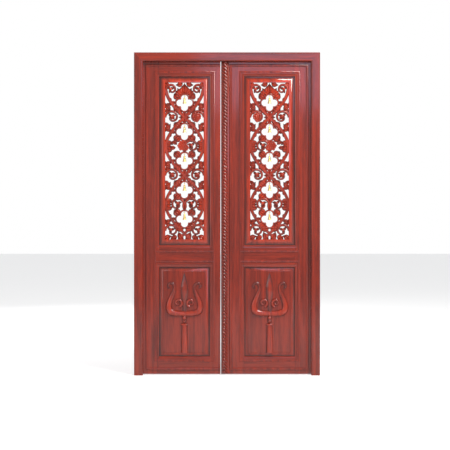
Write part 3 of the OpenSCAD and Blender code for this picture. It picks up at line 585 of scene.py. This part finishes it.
class Vine:
    """Paths of the stems, scrolls, leaves, rims and grapes of one pierced panel

    Places are (across, up) from the panel's middle. While turn is -1, what is drawn is mirrored.
    """

    pitch_part = 0.1856
    into_border = 3
    stem_inset = 4
    scroll_inset = 46
    stem_steps = 90
    volute_radius = 38
    volute_start = 12
    hole_reach = 56
    berry = 1.25
    grapes_across = 14.5
    grapes_down = 12.5
    pad_radii = (1.6, 2.6, 1.9, 1.0)

    # Where a leaf's lobes start and how they differ from its blade, then the blade's widths
    fork = 2
    lobe_angle = 36
    lobe_bend = 30
    lobe_length = 0.66
    lobe_width = 0.72
    section_width = 15
    widest = 1.7
    swell = 0.75
    foot_width = 0.12
    tip_width = 0.05

    def __init__(self, width, height):
        self.half = width / 2
        self.top = height / 2
        self.edge = self.half + self.into_border
        self.foot = -self.top - self.into_border
        self.pitch = height * self.pitch_part
        self.cross = 1.5 * self.pitch
        self.crossings = (self.cross, self.cross - 2 * self.pitch)
        self.bulges = (self.pitch / 2, -1.5 * self.pitch)
        self.sway = self.half - self.stem_inset
        self.side_x = self.half - self.scroll_inset
        self.stems, self.scrolls, self.leaves = [], [], []
        self.rims, self.grapes, self.pads = [], [], []
        for turn in WAYS:
            self.turn = turn
            self.stem()
            for z in self.crossings:
                self.crossing(z)
            for k in BELLS:
                self.beside_hole(k)
            for z in self.bulges:
                self.bulge(z)
            self.ends()
        self.turn = 1
        self.middle()

    def stem_x(self, z):
        """Where the right stem is at a height."""
        return self.sway * sin(radians(90 * (self.cross - z) / self.pitch))

    def hole(self, k):
        """Height of a hole's middle."""
        return (3 - k) * self.pitch

    def leaf(self, start, angle, length, width, bend):
        """A leaf of one blade and a pair of smaller lobes."""
        self.blade(start, angle, length, width, bend)
        fork = bent(start, angle, length, bend)[self.fork]
        length *= self.lobe_length
        width *= self.lobe_width
        for way in WAYS:
            self.blade(fork, angle + self.lobe_angle * way, length, width, bend - self.lobe_bend * way)

    def blade(self, start, angle, length, width, bend):
        """A leaf of one blade, which narrows to a fine tip."""
        path = [(self.turn * x, z) for x, z in bent(start, angle, length, bend)]
        last = len(path) - 1
        widest = min(self.widest, width / self.section_width)
        bulges = [sin(pi * (i / last) ** self.swell) for i in range(last)]
        radii = [widest * max(self.foot_width, bulge) for bulge in bulges]
        self.leaves.append((path, [*radii, self.tip_width], False))

    def scroll(self, path):
        """A scroll that narrows to a berry with three small leaves."""
        self.scrolls.append(([(self.turn * x, z) for x, z in path], taper(len(path), 1.0, 0.55), False))
        x, z = path[-1]
        self.grapes.append(((self.turn * x, z), self.berry))
        for angle in (30, 150, 270):
            self.blade((x, z), angle, length=30, width=15, bend=20)

    def inner_scroll(self, z):
        """A scroll between the stems where they are far apart."""
        self.scroll(spiral((50, z), radius=48, start=180, end=-250))

    def stem(self):
        """A stem that winds from edge to edge, with a volute at its top."""
        top = self.cross + 0.92 * self.pitch
        steps = self.stem_steps
        levels = [top + (self.foot - top) * i / steps for i in range(steps + 1)]
        path = [(self.turn * self.stem_x(z), z) for z in levels]
        self.stems.append((path, taper(len(path), 1.0, 0.85), False))
        radius = self.volute_radius
        start = radians(self.volute_start)
        x = abs(self.stem_x(top)) - radius * cos(start)
        z = top + radius * sin(start)
        self.scroll(spiral((x, z), radius, start=-self.volute_start, end=380))
        self.leaf((x - 30, z - 8), angle=230, length=42, width=22, bend=30)

    def crossing(self, z):
        """A scroll beside a crossing of the stems, with the leaves round it."""
        edge, side_x = self.edge, self.side_x
        self.scroll(spiral((side_x, z), edge - side_x, start=0, end=420))
        self.blade((8, z), angle=0, length=32, width=16, bend=0)
        for up in WAYS:
            self.leaf((16, z + 14 * up), angle=40 * up, length=44, width=20, bend=20 * up)
            self.leaf((edge, z + 74 * up), angle=180 + 10 * up, length=50, width=22, bend=30 * up)
            self.blade((edge, z + 34 * up), angle=180 - 55 * up, length=46, width=18, bend=24 * up)
            self.blade((side_x + 20, z + 46 * up), angle=70 * up, length=34, width=18, bend=30 * up)
            self.blade((side_x - 22, z + 44 * up), angle=80 * up, length=28, width=18, bend=40 * up)

    def beside_hole(self, k):
        """Leaves from the stem, the edge and the rim beside a hole."""
        z = self.hole(k)
        x = abs(self.stem_x(z))
        up = 1 if k % 2 == 0 else -1
        self.blade((x, z), angle=180, length=x - self.hole_reach, width=18, bend=18 * up)
        self.leaf((x, z + 6 * up), angle=30 * up, length=50, width=20, bend=-20 * up)
        self.blade((x, z - 14 * up), angle=-60 * up, length=36, width=16, bend=30 * up)
        self.blade((x - 8, z + 20 * up), angle=140 * up, length=26, width=14, bend=30 * up)
        self.blade((self.edge, z - 4 * up), angle=96 * up, length=46, width=12, bend=16 * up)
        for way in WAYS:
            self.leaf((30, z + 32 * way), angle=62 * way, length=52, width=24, bend=-24 * way)
            self.leaf((40, z + 28 * way), angle=20 * way, length=46, width=24, bend=26 * way)

    def bulge(self, z):
        """Leaves inwards from a stem where it runs along the edge."""
        x = abs(self.stem_x(z))
        self.blade((x, z), angle=180, length=42, width=22, bend=0)
        for up in WAYS:
            self.leaf((x, z + 18 * up), angle=180 - 30 * up, length=50, width=24, bend=40 * up)

    def ends(self):
        """Leaves at the top, and leaves and scrolls at the foot."""
        edge, top, foot = self.edge, self.top, self.foot
        self.leaf((14, top + 2), angle=-50, length=50, width=24, bend=30)
        self.blade((edge, top - 14), angle=200, length=34, width=20, bend=20)
        self.leaf((edge, top), angle=222, length=44, width=24, bend=10)
        self.leaf((6, self.hole(1) + 56), angle=64, length=60, width=26, bend=16)
        self.leaf((6, self.hole(1) + 56), angle=30, length=62, width=26, bend=16)
        self.inner_scroll(self.bulges[1])
        foot_x = self.side_x + 2
        self.scroll(spiral((foot_x, foot + 60), edge - foot_x, start=0, end=400))
        self.leaf((6, foot), angle=38, length=66, width=24, bend=20)
        self.leaf((edge, foot), angle=130, length=52, width=26, bend=20)
        self.leaf((62, foot), angle=84, length=40, width=24, bend=-20)
        self.leaf((4, -2.3 * self.pitch), angle=-28, length=60, width=26, bend=24)
        self.leaf((foot_x + 8, foot + 4), angle=160, length=40, width=22, bend=-30)
        self.leaf((edge, foot + 118), angle=215, length=44, width=20, bend=-20)

    def middle(self):
        """What is on the middle line or on one side only."""
        side_x = self.side_x
        high = self.bulges[0]
        bridge = self.pitch / 2 - 54
        self.leaf((0, self.hole(1) + 52), angle=90, length=82, width=26, bend=0)
        for z in self.crossings:
            for up in WAYS:
                self.blade((0, z + 6 * up), angle=90 * up, length=bridge - 4, width=22, bend=0)
            self.blade((-side_x - 12, z + 8), angle=-20, length=36, width=24, bend=-20)
        self.blade((side_x + 12, self.crossings[1] + 8), angle=200, length=36, width=24, bend=20)
        self.bunch(side_x + 4, self.cross + 24, tilt=12, rows=(3, 4, 4, 3, 2))
        self.bunch(-34, high + 18, tilt=-58, rows=(3, 4, 5, 4, 3, 2))
        self.inner_scroll(high)
        self.leaf((-52, high + 12), angle=120, length=46, width=20, bend=40)
        self.leaf((-60, high - 6), angle=200, length=44, width=20, bend=-30)
        for z in self.bulges:
            self.blade((0, z - bridge), angle=90, length=2 * bridge, width=24, bend=0)
        for k in BELLS:
            self.rims.append(even(self.rim(self.hole(k)), True))

    def rim(self, level, offset=31, radius=27, reach=98, steps=16):
        """Outline of a four-lobed hole, along the middle of its rim."""
        points = []
        for lobe in range(4):
            turn = radians(90 * lobe)
            for i in range(steps + 1):
                angle = turn + radians(-reach + 2 * reach * i / steps)
                x = offset * cos(turn) + radius * cos(angle)
                z = level + offset * sin(turn) + radius * sin(angle)
                points.append((x, z))
        return points

    def bunch(self, x, z, tilt, rows):
        """A bunch of grapes that hangs along its tilt, on a thin pad."""
        lean = radians(tilt)
        along, aside = cos(lean), sin(lean)
        for row, count in enumerate(rows):
            down = -row * self.grapes_down
            for i in range(count):
                across = (i - (count - 1) / 2) * self.grapes_across
                place_x = x + across * along + down * aside
                self.grapes.append(((place_x, z - across * aside + down * along), 1.0))
        last = -self.grapes_down * (len(rows) - 1)
        pad = [(x + down * aside, z + down * along) for down in (6, -4, last + 4, last - 6)]
        self.pads.append((pad, self.pad_radii, False))


# Operators


class DOOR_OT_members(Operator):
    """Stiles, rails and frame: the CAD shapes with rounded edges"""

    bl_idname = "door.members"
    bl_label = "Stiles, rails and frame"

    def execute(self, context):
        width = context.scene.teak_finish.edge_round
        for side in SIDES:
            for member in ("hinge_stile", "meeting_stile", "bottom_rail", "mid_rail", "top_rail"):
                self.build(f"{side}_{member}", f"{side}_leaf", "leaf_teak", width)
            self.build(f"{side}_jamb", "frame", "frame_teak", width)
        self.build("frame_head", "frame", "frame_teak", width)
        return {"FINISHED"}

    def build(self, node, body, slot, width):
        """One member, with its grain along it and, on the leaves, painted shade in its grooves and painted
        highlight on its bevels.
        """
        level = node.endswith("_rail") or node.endswith("_head")
        bm = node_copy(node, smooth=False)
        soften(bm, width, shortest=15 * MM)
        name = "teak_level" if level else "teak_upright"
        # Painted shade in the grooves and painted highlight on the bevels
        painted_depths = (leaf_face(), GROOVE_PAINTED_LIGHT)
        if body == "frame":
            name, painted_depths = f"{name}_frame", None
        mat = teak(name, "X" if level else "Z", painted_depths)
        finished(f"{node}_wood", bm, mat, body, [node], sharp=20)


class DOOR_OT_beads(Operator):
    """Planted beads near the leaf's edge and round the panels"""

    bl_idname = "door.beads"
    bl_label = "Planted beads"

    edge_width = 17 * MM
    panel_width = 14 * MM
    run_out = 60 * MM
    strip_levels = (-41 * MM, 27 * MM)

    def execute(self, context):
        face = leaf_face()
        foot = Matrix.Translation((0, face, 0)) @ Matrix.Rotation(radians(90), 4, "X")
        for side in SIDES:
            self.edge_bead(side, face, foot)
            self.panel_bead(side, face, foot)
        return {"FINISHED"}

    def edge_bead(self, side, face, foot):
        """Bead round a leaf, cut open on the left leaf's meeting side."""
        node = f"{side}_edge_bead"
        lo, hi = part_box(node)
        past = self.run_out if side == "left" else 0
        path = rectangle(lo.x, hi.x + past, lo.z, hi.z)
        bm = bmesh.new()
        gather(bm, swept([path], half_round(self.edge_width, face - lo.y)), foot)
        if past:
            cut(bm, (hi.x, 0, 0), (1, 0, 0))
        finished(f"{node}_wood", bm, teak("teak_bead", "Z"), f"{side}_leaf", [node])

    def panel_bead(self, side, face, foot):
        """Bead round both panels, with a strip along each side of the middle rail."""
        node = f"{side}_panel_bead"
        lo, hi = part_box(node)
        middle = sum(corner.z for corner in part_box(f"{side}_mid_rail")) / 2
        section = half_round(self.panel_width, face - lo.y)
        inset = self.panel_width / 2
        ends = (hi.x - inset, lo.x + inset)
        strips = [even([(x, middle + level) for x in ends], False) for level in self.strip_levels]
        bm = bmesh.new()
        gather(bm, swept([rectangle(lo.x, hi.x, lo.z, hi.z)], section), foot)
        gather(bm, swept(strips, section), foot)
        finished(f"{node}_wood", bm, teak("teak_bead", "Z"), f"{side}_leaf", [node])


class DOOR_OT_carved_panels(Operator):
    """Upper panels: pierced boards with stems, scrolls, leaves, grapes and four-lobed holes"""

    bl_idname = "door.carved_panels"
    bl_label = "Carved panels"

    stem_side = ((1, -10), (1, 1.5), (0.86, 5.6), (0.5, 8.6), (0.14, 7.2))
    scroll_side = ((1, -8), (1, 1), (0.85, 4.6), (0.45, 7.2), (0, 8))
    leaf_side = ((6, -7), (10, 0.5), (8.2, 4.2), (4.5, 6.6), (1.2, 4.2), (0, 3.2))
    rim_section = ((-8, -10), (4, -10), (4, 3.5), (2.9, 6.2), (0.9, 7.3), (-3, 6.6), (-6.5, 4.2), (-8, 1))
    pad_side = ((10, -3), (9, 0))
    grape_rise = 5.5 * MM
    grape_squash = 0.9

    def execute(self, context):
        sizes = context.scene.carving
        for side in SIDES:
            node = f"{side}_carved_panel"
            bm, matrix, half_width, half_height = board(side, node, sizes.border)
            vine = Vine(2 * half_width / MM, 2 * half_height / MM)
            self.strands(bm, vine, sizes, matrix)
            for (x, z), scale in vine.grapes:
                centre = matrix @ Vector((x * MM, z * MM, self.grape_rise - VINE))
                ball(bm, centre, sizes.grape * scale, self.grape_squash)
            # Painted highlight on the vine's tops and painted shade on its deeper parts
            mat = teak("teak_vine", "Z", (leaf_face(), VINE_PAINTED_LIGHT))
            finished(f"{node}_wood", bm, mat, f"{side}_leaf", [node], sharp=50)
        return {"FINISHED"}

    def strands(self, bm, vine, sizes, matrix):
        """Sweeps each kind of strand with its own section."""
        deep = matrix @ Matrix.Translation((0, 0, -VINE)) @ Matrix.Scale(MM, 4)
        kinds = (
            (vine.stems, both_sides(self.stem_side, sizes.stem / MM / 2)),
            (vine.scrolls, both_sides(self.scroll_side, sizes.scroll / MM / 2)),
            (vine.leaves, both_sides(self.leaf_side)),
            (vine.rims, self.rim_section),
            (vine.pads, both_sides(self.pad_side)),
        )
        for paths, section in kinds:
            gather(bm, swept(paths, section), deep)


class DOOR_OT_trident_panels(Operator):
    """Lower panels: raised boards with a trident in relief"""

    bl_idname = "door.trident_panels"
    bl_label = "Trident panels"

    border = 6 * MM
    base = -3
    prong = ((0, 264), (58, 266), (96, 280), (106, 316), (95, 358), (78, 398))
    prong += ((67, 432), (74, 462), (96, 470), (110, 452), (100, 434))
    prong_widths = (0.85, 1.0, 1.1, 1.0, 0.85, 0.7, 0.55, 0.46, 0.42, 0.38, 0.3)
    spear_side = ((1, -3 / 23), (0.94, 0.13), (0.5, 0.36), (0, 0.53))
    spear_foot = 268
    spear_length = 272
    spear_parts = (0, 0.1, 0.25, 0.4, 0.52, 0.6, 0.7, 0.78, 0.86, 0.93, 0.97, 1)
    spear_widths = (12, 13, 16, 21, 25, 26, 23, 18, 12, 6.5, 3.5, 0.6)
    shaft = ((0, 0), (0, 60), (0, 130), (0, 196))
    shaft_widths = (1.1, 1.06, 1.0, 0.9)
    collar = ((-26, 190), (-20, 190), (0, 190), (20, 190), (26, 190))
    collar_widths = (0.5, 0.85, 1, 0.85, 0.5)
    balls = ((212, 14), (234, 17), (262, 19))
    ball_squash = 0.85

    def execute(self, context):
        sizes = context.scene.carving
        start = leaf_face() - RELIEF_RISE * MM
        for side in SIDES:
            node = f"{side}_trident_panel"
            bm, matrix, half_width, half_height = board(side, node, self.border)
            self.fill(bm, matrix.translation, half_width, half_height)
            low = Matrix.Translation((0, -half_height - self.border, -FIELD))
            self.trident(bm, matrix @ low @ Matrix.Scale(MM, 4), sizes.relief / MM)
            # Painted highlight on the trident's top, painted shade round its foot and in the groove
            mat = teak("teak_panel", "Z", (start, RELIEF_PAINTED_LIGHT))
            finished(f"{node}_wood", bm, mat, f"{side}_leaf", [node], sharp=40)
        return {"FINISHED"}

    def fill(self, bm, centre, half_width, half_height, slack=0.1 * MM):
        """Takes out the ring's inner wall and closes the board's front and back."""
        inside = set()
        for vert in bm.verts:
            off = vert.co - centre
            if abs(off.x) < half_width + slack and abs(off.z) < half_height + slack:
                inside.add(vert)
        walls = [face for face in bm.faces if inside.issuperset(face.verts)]
        bmesh.ops.delete(bm, geom=walls, context="FACES_ONLY")
        rims = [edge for edge in bm.edges if len(edge.link_faces) == 1]
        bmesh.ops.holes_fill(bm, edges=rims, sides=4)
        bmesh.ops.delete(bm, geom=[edge for edge in bm.edges if not edge.link_faces], context="EDGES")
        bmesh.ops.recalc_face_normals(bm, faces=bm.faces)

    def dome(self, half, height):
        """Section of a rounded bar in relief."""
        side = [(1, self.base), (1, 0.25 * height), (0.8, 0.68 * height), (0.42, 0.93 * height), (0, height)]
        return both_sides(side, half)

    def trident(self, bm, foot, relief):
        """Prongs, curls, spear, shaft, collar and balls, in millimetres from the foot."""
        prong = smoothed(self.prong)
        widths = [width for width, level in smoothed([(width, 0) for width in self.prong_widths])]
        curl = spiral((42, 336), radius=27, start=250, end=-150)
        prongs, curls = [], []
        for turn in WAYS:
            prongs.append(([(turn * x, z) for x, z in prong], widths, False))
            curls.append(([(turn * x, z) for x, z in curl], taper(len(curl), 1.0, 0.6), False))
        spear = [(0, self.spear_foot + self.spear_length * part) for part in self.spear_parts]
        kinds = (
            (prongs, self.dome(half=20, height=relief + 1)),
            (curls, self.dome(half=11, height=relief - 2)),
            ([(spear, self.spear_widths, False)], both_sides(self.spear_side)),
            ([(self.shaft, self.shaft_widths, False)], self.dome(half=20, height=relief)),
            ([(self.collar, self.collar_widths, False)], self.dome(half=9, height=relief + 1)),
        )
        for paths, section in kinds:
            gather(bm, swept(paths, section), foot)
        for level, radius in self.balls:
            ball(bm, foot @ Vector((0, level, -1)), radius * MM, self.ball_squash)


class DOOR_OT_rope_batten(Operator):
    """Batten with a twisted rope along the meeting line"""

    bl_idname = "door.rope_batten"
    bl_label = "Rope batten"

    base = 6 * MM
    base_round = 1.5 * MM
    reach = 14.5 * MM
    radius = 7.9 * MM
    rise = 3.2 * MM
    lean = 1.05
    steps = 10

    def execute(self, context):
        face = leaf_face()
        lo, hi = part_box("rope_batten")
        middle = Vector(((lo.x + hi.x) / 2, face - self.base / 2, (lo.z + hi.z) / 2))
        size = (hi.x - lo.x, self.base, hi.z - lo.z)
        wood = bmesh.new()
        bmesh.ops.create_cube(wood, size=1, matrix=Matrix.Translation(middle) @ Matrix.Diagonal((*size, 1)))
        soften(wood, self.base_round, shortest=10 * MM)
        pitch = context.scene.carving.strand_pitch
        levels = [lo.z + i * pitch for i in range(-1, int(size[2] / pitch) + 3)]
        paths = [self.strand(middle.x, face - self.base, level) for level in levels]
        bm = bmesh.new()
        gather(bm, swept(paths, radius=self.radius))
        cut(bm, (0, 0, lo.z), (0, 0, -1))
        cut(bm, (0, 0, hi.z), (0, 0, 1))
        cut(bm, (0, face - 1 * MM, 0), (0, 1, 0))
        gather(wood, as_mesh("rope", bm))
        mat = teak("teak_carved", "Z")
        finished("rope_batten_wood", wood, mat, "right_leaf", ["rope_batten"], sharp=50)
        return {"FINISHED"}

    def strand(self, x, y, z):
        """Path of one strand, slanting over the batten and fuller in its middle."""
        points, radii = [], []
        for i in range(self.steps + 1):
            side = -1 + 2 / self.steps * i
            bow = sqrt(max(0.0, 1 - side * side))
            points.append((x + self.reach * side, y - self.rise * bow, z - self.reach * self.lean * side))
            radii.append(0.8 + 0.2 * bow)
        return points, radii, False


class DOOR_OT_bells(Operator):
    """Small bells on their screw eyes in the four-lobed holes"""

    bl_idname = "door.bells"
    bl_label = "Bells"

    outer = ((0, 0.4), (2.2, 0.2), (4.2, -0.8), (5.4, -2.2), (6.0, -4.2), (6.4, -8), (6.9, -13))
    outer += ((7.3, -13.6), (7.3, -14.6), (7.1, -15.2), (7.6, -19), (8.5, -24), (9.6, -28.5))
    outer += ((10.3, -31), (10.9, -31.6), (11.1, -32.6), (11.0, -33.4), (11.9, -36.4), (12.7, -39))
    lip = ((13.0, -39.7), (12.8, -40), (12.2, -39.9))
    inner = ((11.0, -37), (9.6, -32), (8.2, -27), (6.6, -21), (5.8, -15), (5.2, -8), (4.2, -3.6), (0, -3.2))
    height = 40 * MM
    clapper_level = -37 * MM
    clapper_radius = 3.2 * MM
    rod_middle = -19 * MM
    rod_length = 33 * MM
    rod_radius = 0.9 * MM
    ring_radius = 4.5 * MM
    ring_points = 24
    wire = 1.2 * MM
    shank_foot = 4.6 * MM

    def execute(self, context):
        look = context.scene.metal_finish
        brass = metal("bell_brass", look.bell_brass, look.bell_roughness)
        joints = {joint["name"]: joint for joint in frame["joints"]}
        for side in SIDES:
            eyes_node = f"{side}_bell_eyes"
            shank_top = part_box(eyes_node)[1].z - Vector(joints[f"{side}_bell_1_swing"]["pos_m"]).z
            eyes = bmesh.new()
            for k in BELLS:
                node = f"{side}_bell_{k}"
                eye = Vector(joints[f"{node}_swing"]["pos_m"])
                lo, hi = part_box(node)
                bm = bmesh.new()
                self.bell(bm, Vector((eye.x, eye.y, lo.z + self.height)))
                self.ring(bm, Vector((eye.x, eye.y, hi.z - self.ring_radius - self.wire)), "X")
                shade(bm)
                finished(f"{node}_brass", bm, brass, node, [node], sharp=50)
                self.ring(eyes, eye, "Y")
                shank = eye + Vector((0, 0, (shank_top + self.shank_foot) / 2))
                self.rod(eyes, shank, self.wire, shank_top - self.shank_foot, segments=16)
            shade(eyes)
            finished(f"{eyes_node}_brass", eyes, brass, f"{side}_leaf", [eyes_node], sharp=50)
        return {"FINISHED"}

    def bell(self, bm, crown):
        """Turned bell with its clapper, in an empty bm."""
        outline = (*self.outer, *self.lip, *self.inner)
        verts = [bm.verts.new(crown + Vector((r, 0, z)) * MM) for r, z in outline]
        edges = [bm.edges.new(pair) for pair in zip(verts, verts[1:])]
        bmesh.ops.spin(
            bm, geom=verts + edges, cent=crown, axis=(0, 0, 1), angle=2 * pi, steps=40, use_merge=True
        )
        bmesh.ops.remove_doubles(bm, verts=bm.verts, dist=MERGE)
        bmesh.ops.recalc_face_normals(bm, faces=bm.faces)
        ball(bm, crown + Vector((0, 0, self.clapper_level)), self.clapper_radius)
        middle = crown + Vector((0, 0, self.rod_middle))
        self.rod(bm, middle, self.rod_radius, self.rod_length, segments=12)

    def rod(self, bm, middle, radius, length, segments):
        """Upright round rod."""
        bmesh.ops.create_cone(
            bm,
            cap_ends=True,
            segments=segments,
            radius1=radius,
            radius2=radius,
            depth=length,
            matrix=Matrix.Translation(middle),
        )

    def ring(self, bm, centre, axis):
        """Ring of wire whose hole is along an axis."""
        points = []
        for i in range(self.ring_points):
            angle = 2 * pi * i / self.ring_points
            across, up = self.ring_radius * cos(angle), self.ring_radius * sin(angle)
            off = Vector((across, 0, up)) if axis == "Y" else Vector((0, across, up))
            points.append(tuple(centre + off))
        gather(bm, swept([even(points, True)], radius=self.wire, rounds=2))


class DOOR_OT_hardware(Operator):
    """Hinges, pins, screws and bolts: the CAD shapes with smooth rounds"""

    bl_idname = "door.hardware"
    bl_label = "Hinges and bolts"

    def execute(self, context):
        look = context.scene.metal_finish
        metals = {
            "hinge_brass": metal("hinge_brass", look.hinge_brass, look.hinge_roughness),
            "bolt_steel": metal("bolt_steel", look.bolt_steel, look.bolt_roughness),
        }
        slots = {part["node"]: part["material_slot"] for part in frame["record"]["subparts"]}
        for node, obj in frame["nodes"].items():
            slot = slots[node]
            if slot not in metals:
                continue
            bm = node_copy(node)
            if "screws" not in node:
                soften(bm, width=0.3 * MM, shortest=8 * MM, least=60)
            finished(f"{node}_metal", bm, metals[slot], obj["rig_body"], [node], sharp=24)
        return {"FINISHED"}


class DOOR_OT_stage(Operator):
    """Floor, lights and camera"""

    bl_idname = "door.stage"
    bl_label = "Floor, lights and camera"

    white = (1, 1, 1, 1)
    black = (0, 0, 0, 1)
    warm = (1.0, 0.97, 0.94)
    pale = (1.0, 0.98, 0.97)
    even_tint = (0.90, 0.92, 0.96, 1)
    floor_half = 30
    floor_grey = (0.86, 0.86, 0.86, 1)
    floor_glow = 0.55
    card_place = (2.3, -12, 4.7)
    card_half = (2.8, 1.6)
    card_tint = (0.72, 0.76, 1.0, 1)

    def execute(self, context):
        scene = context.scene
        studio = scene.studio
        floor = self.floor()
        key = self.lamp("key", studio.key, at=(2.5, -2.9, 5.0), aim=0.9, size=2.0, colour=self.warm)
        fill = self.lamp("fill", studio.fill, at=(-4.2, -4.4, 2.2), aim=0.9, size=2.8, colour=self.pale)
        back = self.lamp("back", studio.back, at=(-2.4, 4.6, 3.4), aim=1.0, size=2.8, colour=self.pale)
        back.visible_glossy = False
        card = self.card(studio.sheen)
        self.world(scene, studio.ambient)
        camera = self.camera(studio)
        scene.camera = camera
        scene.view_settings.view_transform = "Standard"
        return {"FINISHED"}

    def plane(self, name, matrix, mat):
        """A flat face of one material, from -1 to 1 before its matrix."""
        bm = bmesh.new()
        bmesh.ops.create_grid(bm, x_segments=1, y_segments=1, size=1, matrix=matrix)
        mesh = as_mesh(name, bm)
        mesh.materials.append(mat)
        return linked(name, mesh)

    def floor(self):
        """Pale floor that glows where the background itself is seen."""
        mat, tree, shader = material(
            "floor", Base_Color=self.floor_grey, Roughness=0.8, Emission_Color=self.white
        )
        glow = add(tree, "ShaderNodeMath", seen(tree), self.floor_glow, operation="MULTIPLY")
        tree.links.new(glow.outputs[0], shader.inputs["Emission Strength"])
        return self.plane("floor", Matrix.Scale(self.floor_half, 4), mat)

    def lamp(self, name, power, at, aim, size, colour):
        """Square lamp that points at a height on the door's middle line."""
        data = bpy.data.lights.new(name, "AREA")
        data.energy = power
        data.color = colour
        data.size = size
        obj = linked(name, data)
        obj.location = at
        obj.rotation_euler = (Vector((0, 0, aim)) - Vector(at)).to_track_quat("-Z", "Y").to_euler()
        return obj

    def card(self, strength):
        """Pale card behind the camera, for the sheen at the top of the leaves."""
        upright = Matrix.Translation(self.card_place) @ Matrix.Rotation(radians(90), 4, "X")
        mat = material(
            "card", Base_Color=self.black, Emission_Color=self.card_tint, Emission_Strength=strength
        )[0]
        card = self.plane("card", upright @ Matrix.Diagonal((*self.card_half, 1, 1)), mat)
        card.visible_camera = False
        card.visible_diffuse = False
        card.visible_shadow = False
        return card

    def world(self, scene, ambient):
        """Even light, with white for the camera and for what shows through."""
        world = bpy.data.worlds.new("world")
        scene.world = world
        world.use_nodes = True
        tree = world.node_tree
        even_light = tree.nodes["Background"]
        even_light.inputs["Color"].default_value = self.even_tint
        even_light.inputs["Strength"].default_value = ambient
        white_light = add(tree, "ShaderNodeBackground", Color=self.white, Strength=1.0)
        lights = (even_light.outputs[0], white_light.outputs[0])
        mix = add(tree, "ShaderNodeMixShader", seen(tree), *lights)
        tree.links.new(mix.outputs[0], tree.nodes["World Output"].inputs["Surface"])

    def camera(self, studio):
        """Level camera in front of the leaves."""
        data = bpy.data.cameras.new("camera")
        data.lens = studio.lens
        data.sensor_width = 36
        camera = linked("camera", data)
        camera.location = (studio.offset, leaf_face() - studio.distance, studio.height)
        camera.rotation_euler = (radians(90), 0, 0)
        return camera


class VIEW3D_PT_teak_door(Panel):
    """Lists the door's settings and pieces"""

    bl_label = "Teak door"
    bl_idname = "VIEW3D_PT_teak_door"
    bl_space_type = "VIEW_3D"
    bl_region_type = "UI"
    bl_category = "Teak door"

    def draw(self, context):
        for group_name, group in GROUPS.items():
            box = self.layout.box()
            for name in group.__annotations__:
                box.prop(getattr(context.scene, group_name), name)
        for operator in OPERATORS:
            self.layout.operator(operator.bl_idname)


GROUPS = {"teak_finish": TeakFinish, "metal_finish": MetalFinish, "carving": Carving, "studio": Studio}
OPERATORS = (
    DOOR_OT_members,
    DOOR_OT_beads,
    DOOR_OT_carved_panels,
    DOOR_OT_trident_panels,
    DOOR_OT_rope_batten,
    DOOR_OT_bells,
    DOOR_OT_hardware,
    DOOR_OT_stage,
)
CLASSES = (*GROUPS.values(), *OPERATORS, VIEW3D_PT_teak_door)


def register():
    for cls in CLASSES:
        bpy.utils.register_class(cls)
    for name, group in GROUPS.items():
        setattr(bpy.types.Scene, name, PointerProperty(type=group))


def unregister():
    for name in GROUPS:
        delattr(bpy.types.Scene, name)
    for cls in reversed(CLASSES):
        bpy.utils.unregister_class(cls)


def main():
    register()
    bpy.ops.door.members()
    bpy.ops.door.beads()
    bpy.ops.door.carved_panels()
    bpy.ops.door.trident_panels()
    bpy.ops.door.rope_batten()
    bpy.ops.door.bells()
    bpy.ops.door.hardware()
    bpy.ops.door.stage()


if __name__ == "__main__":
    main()
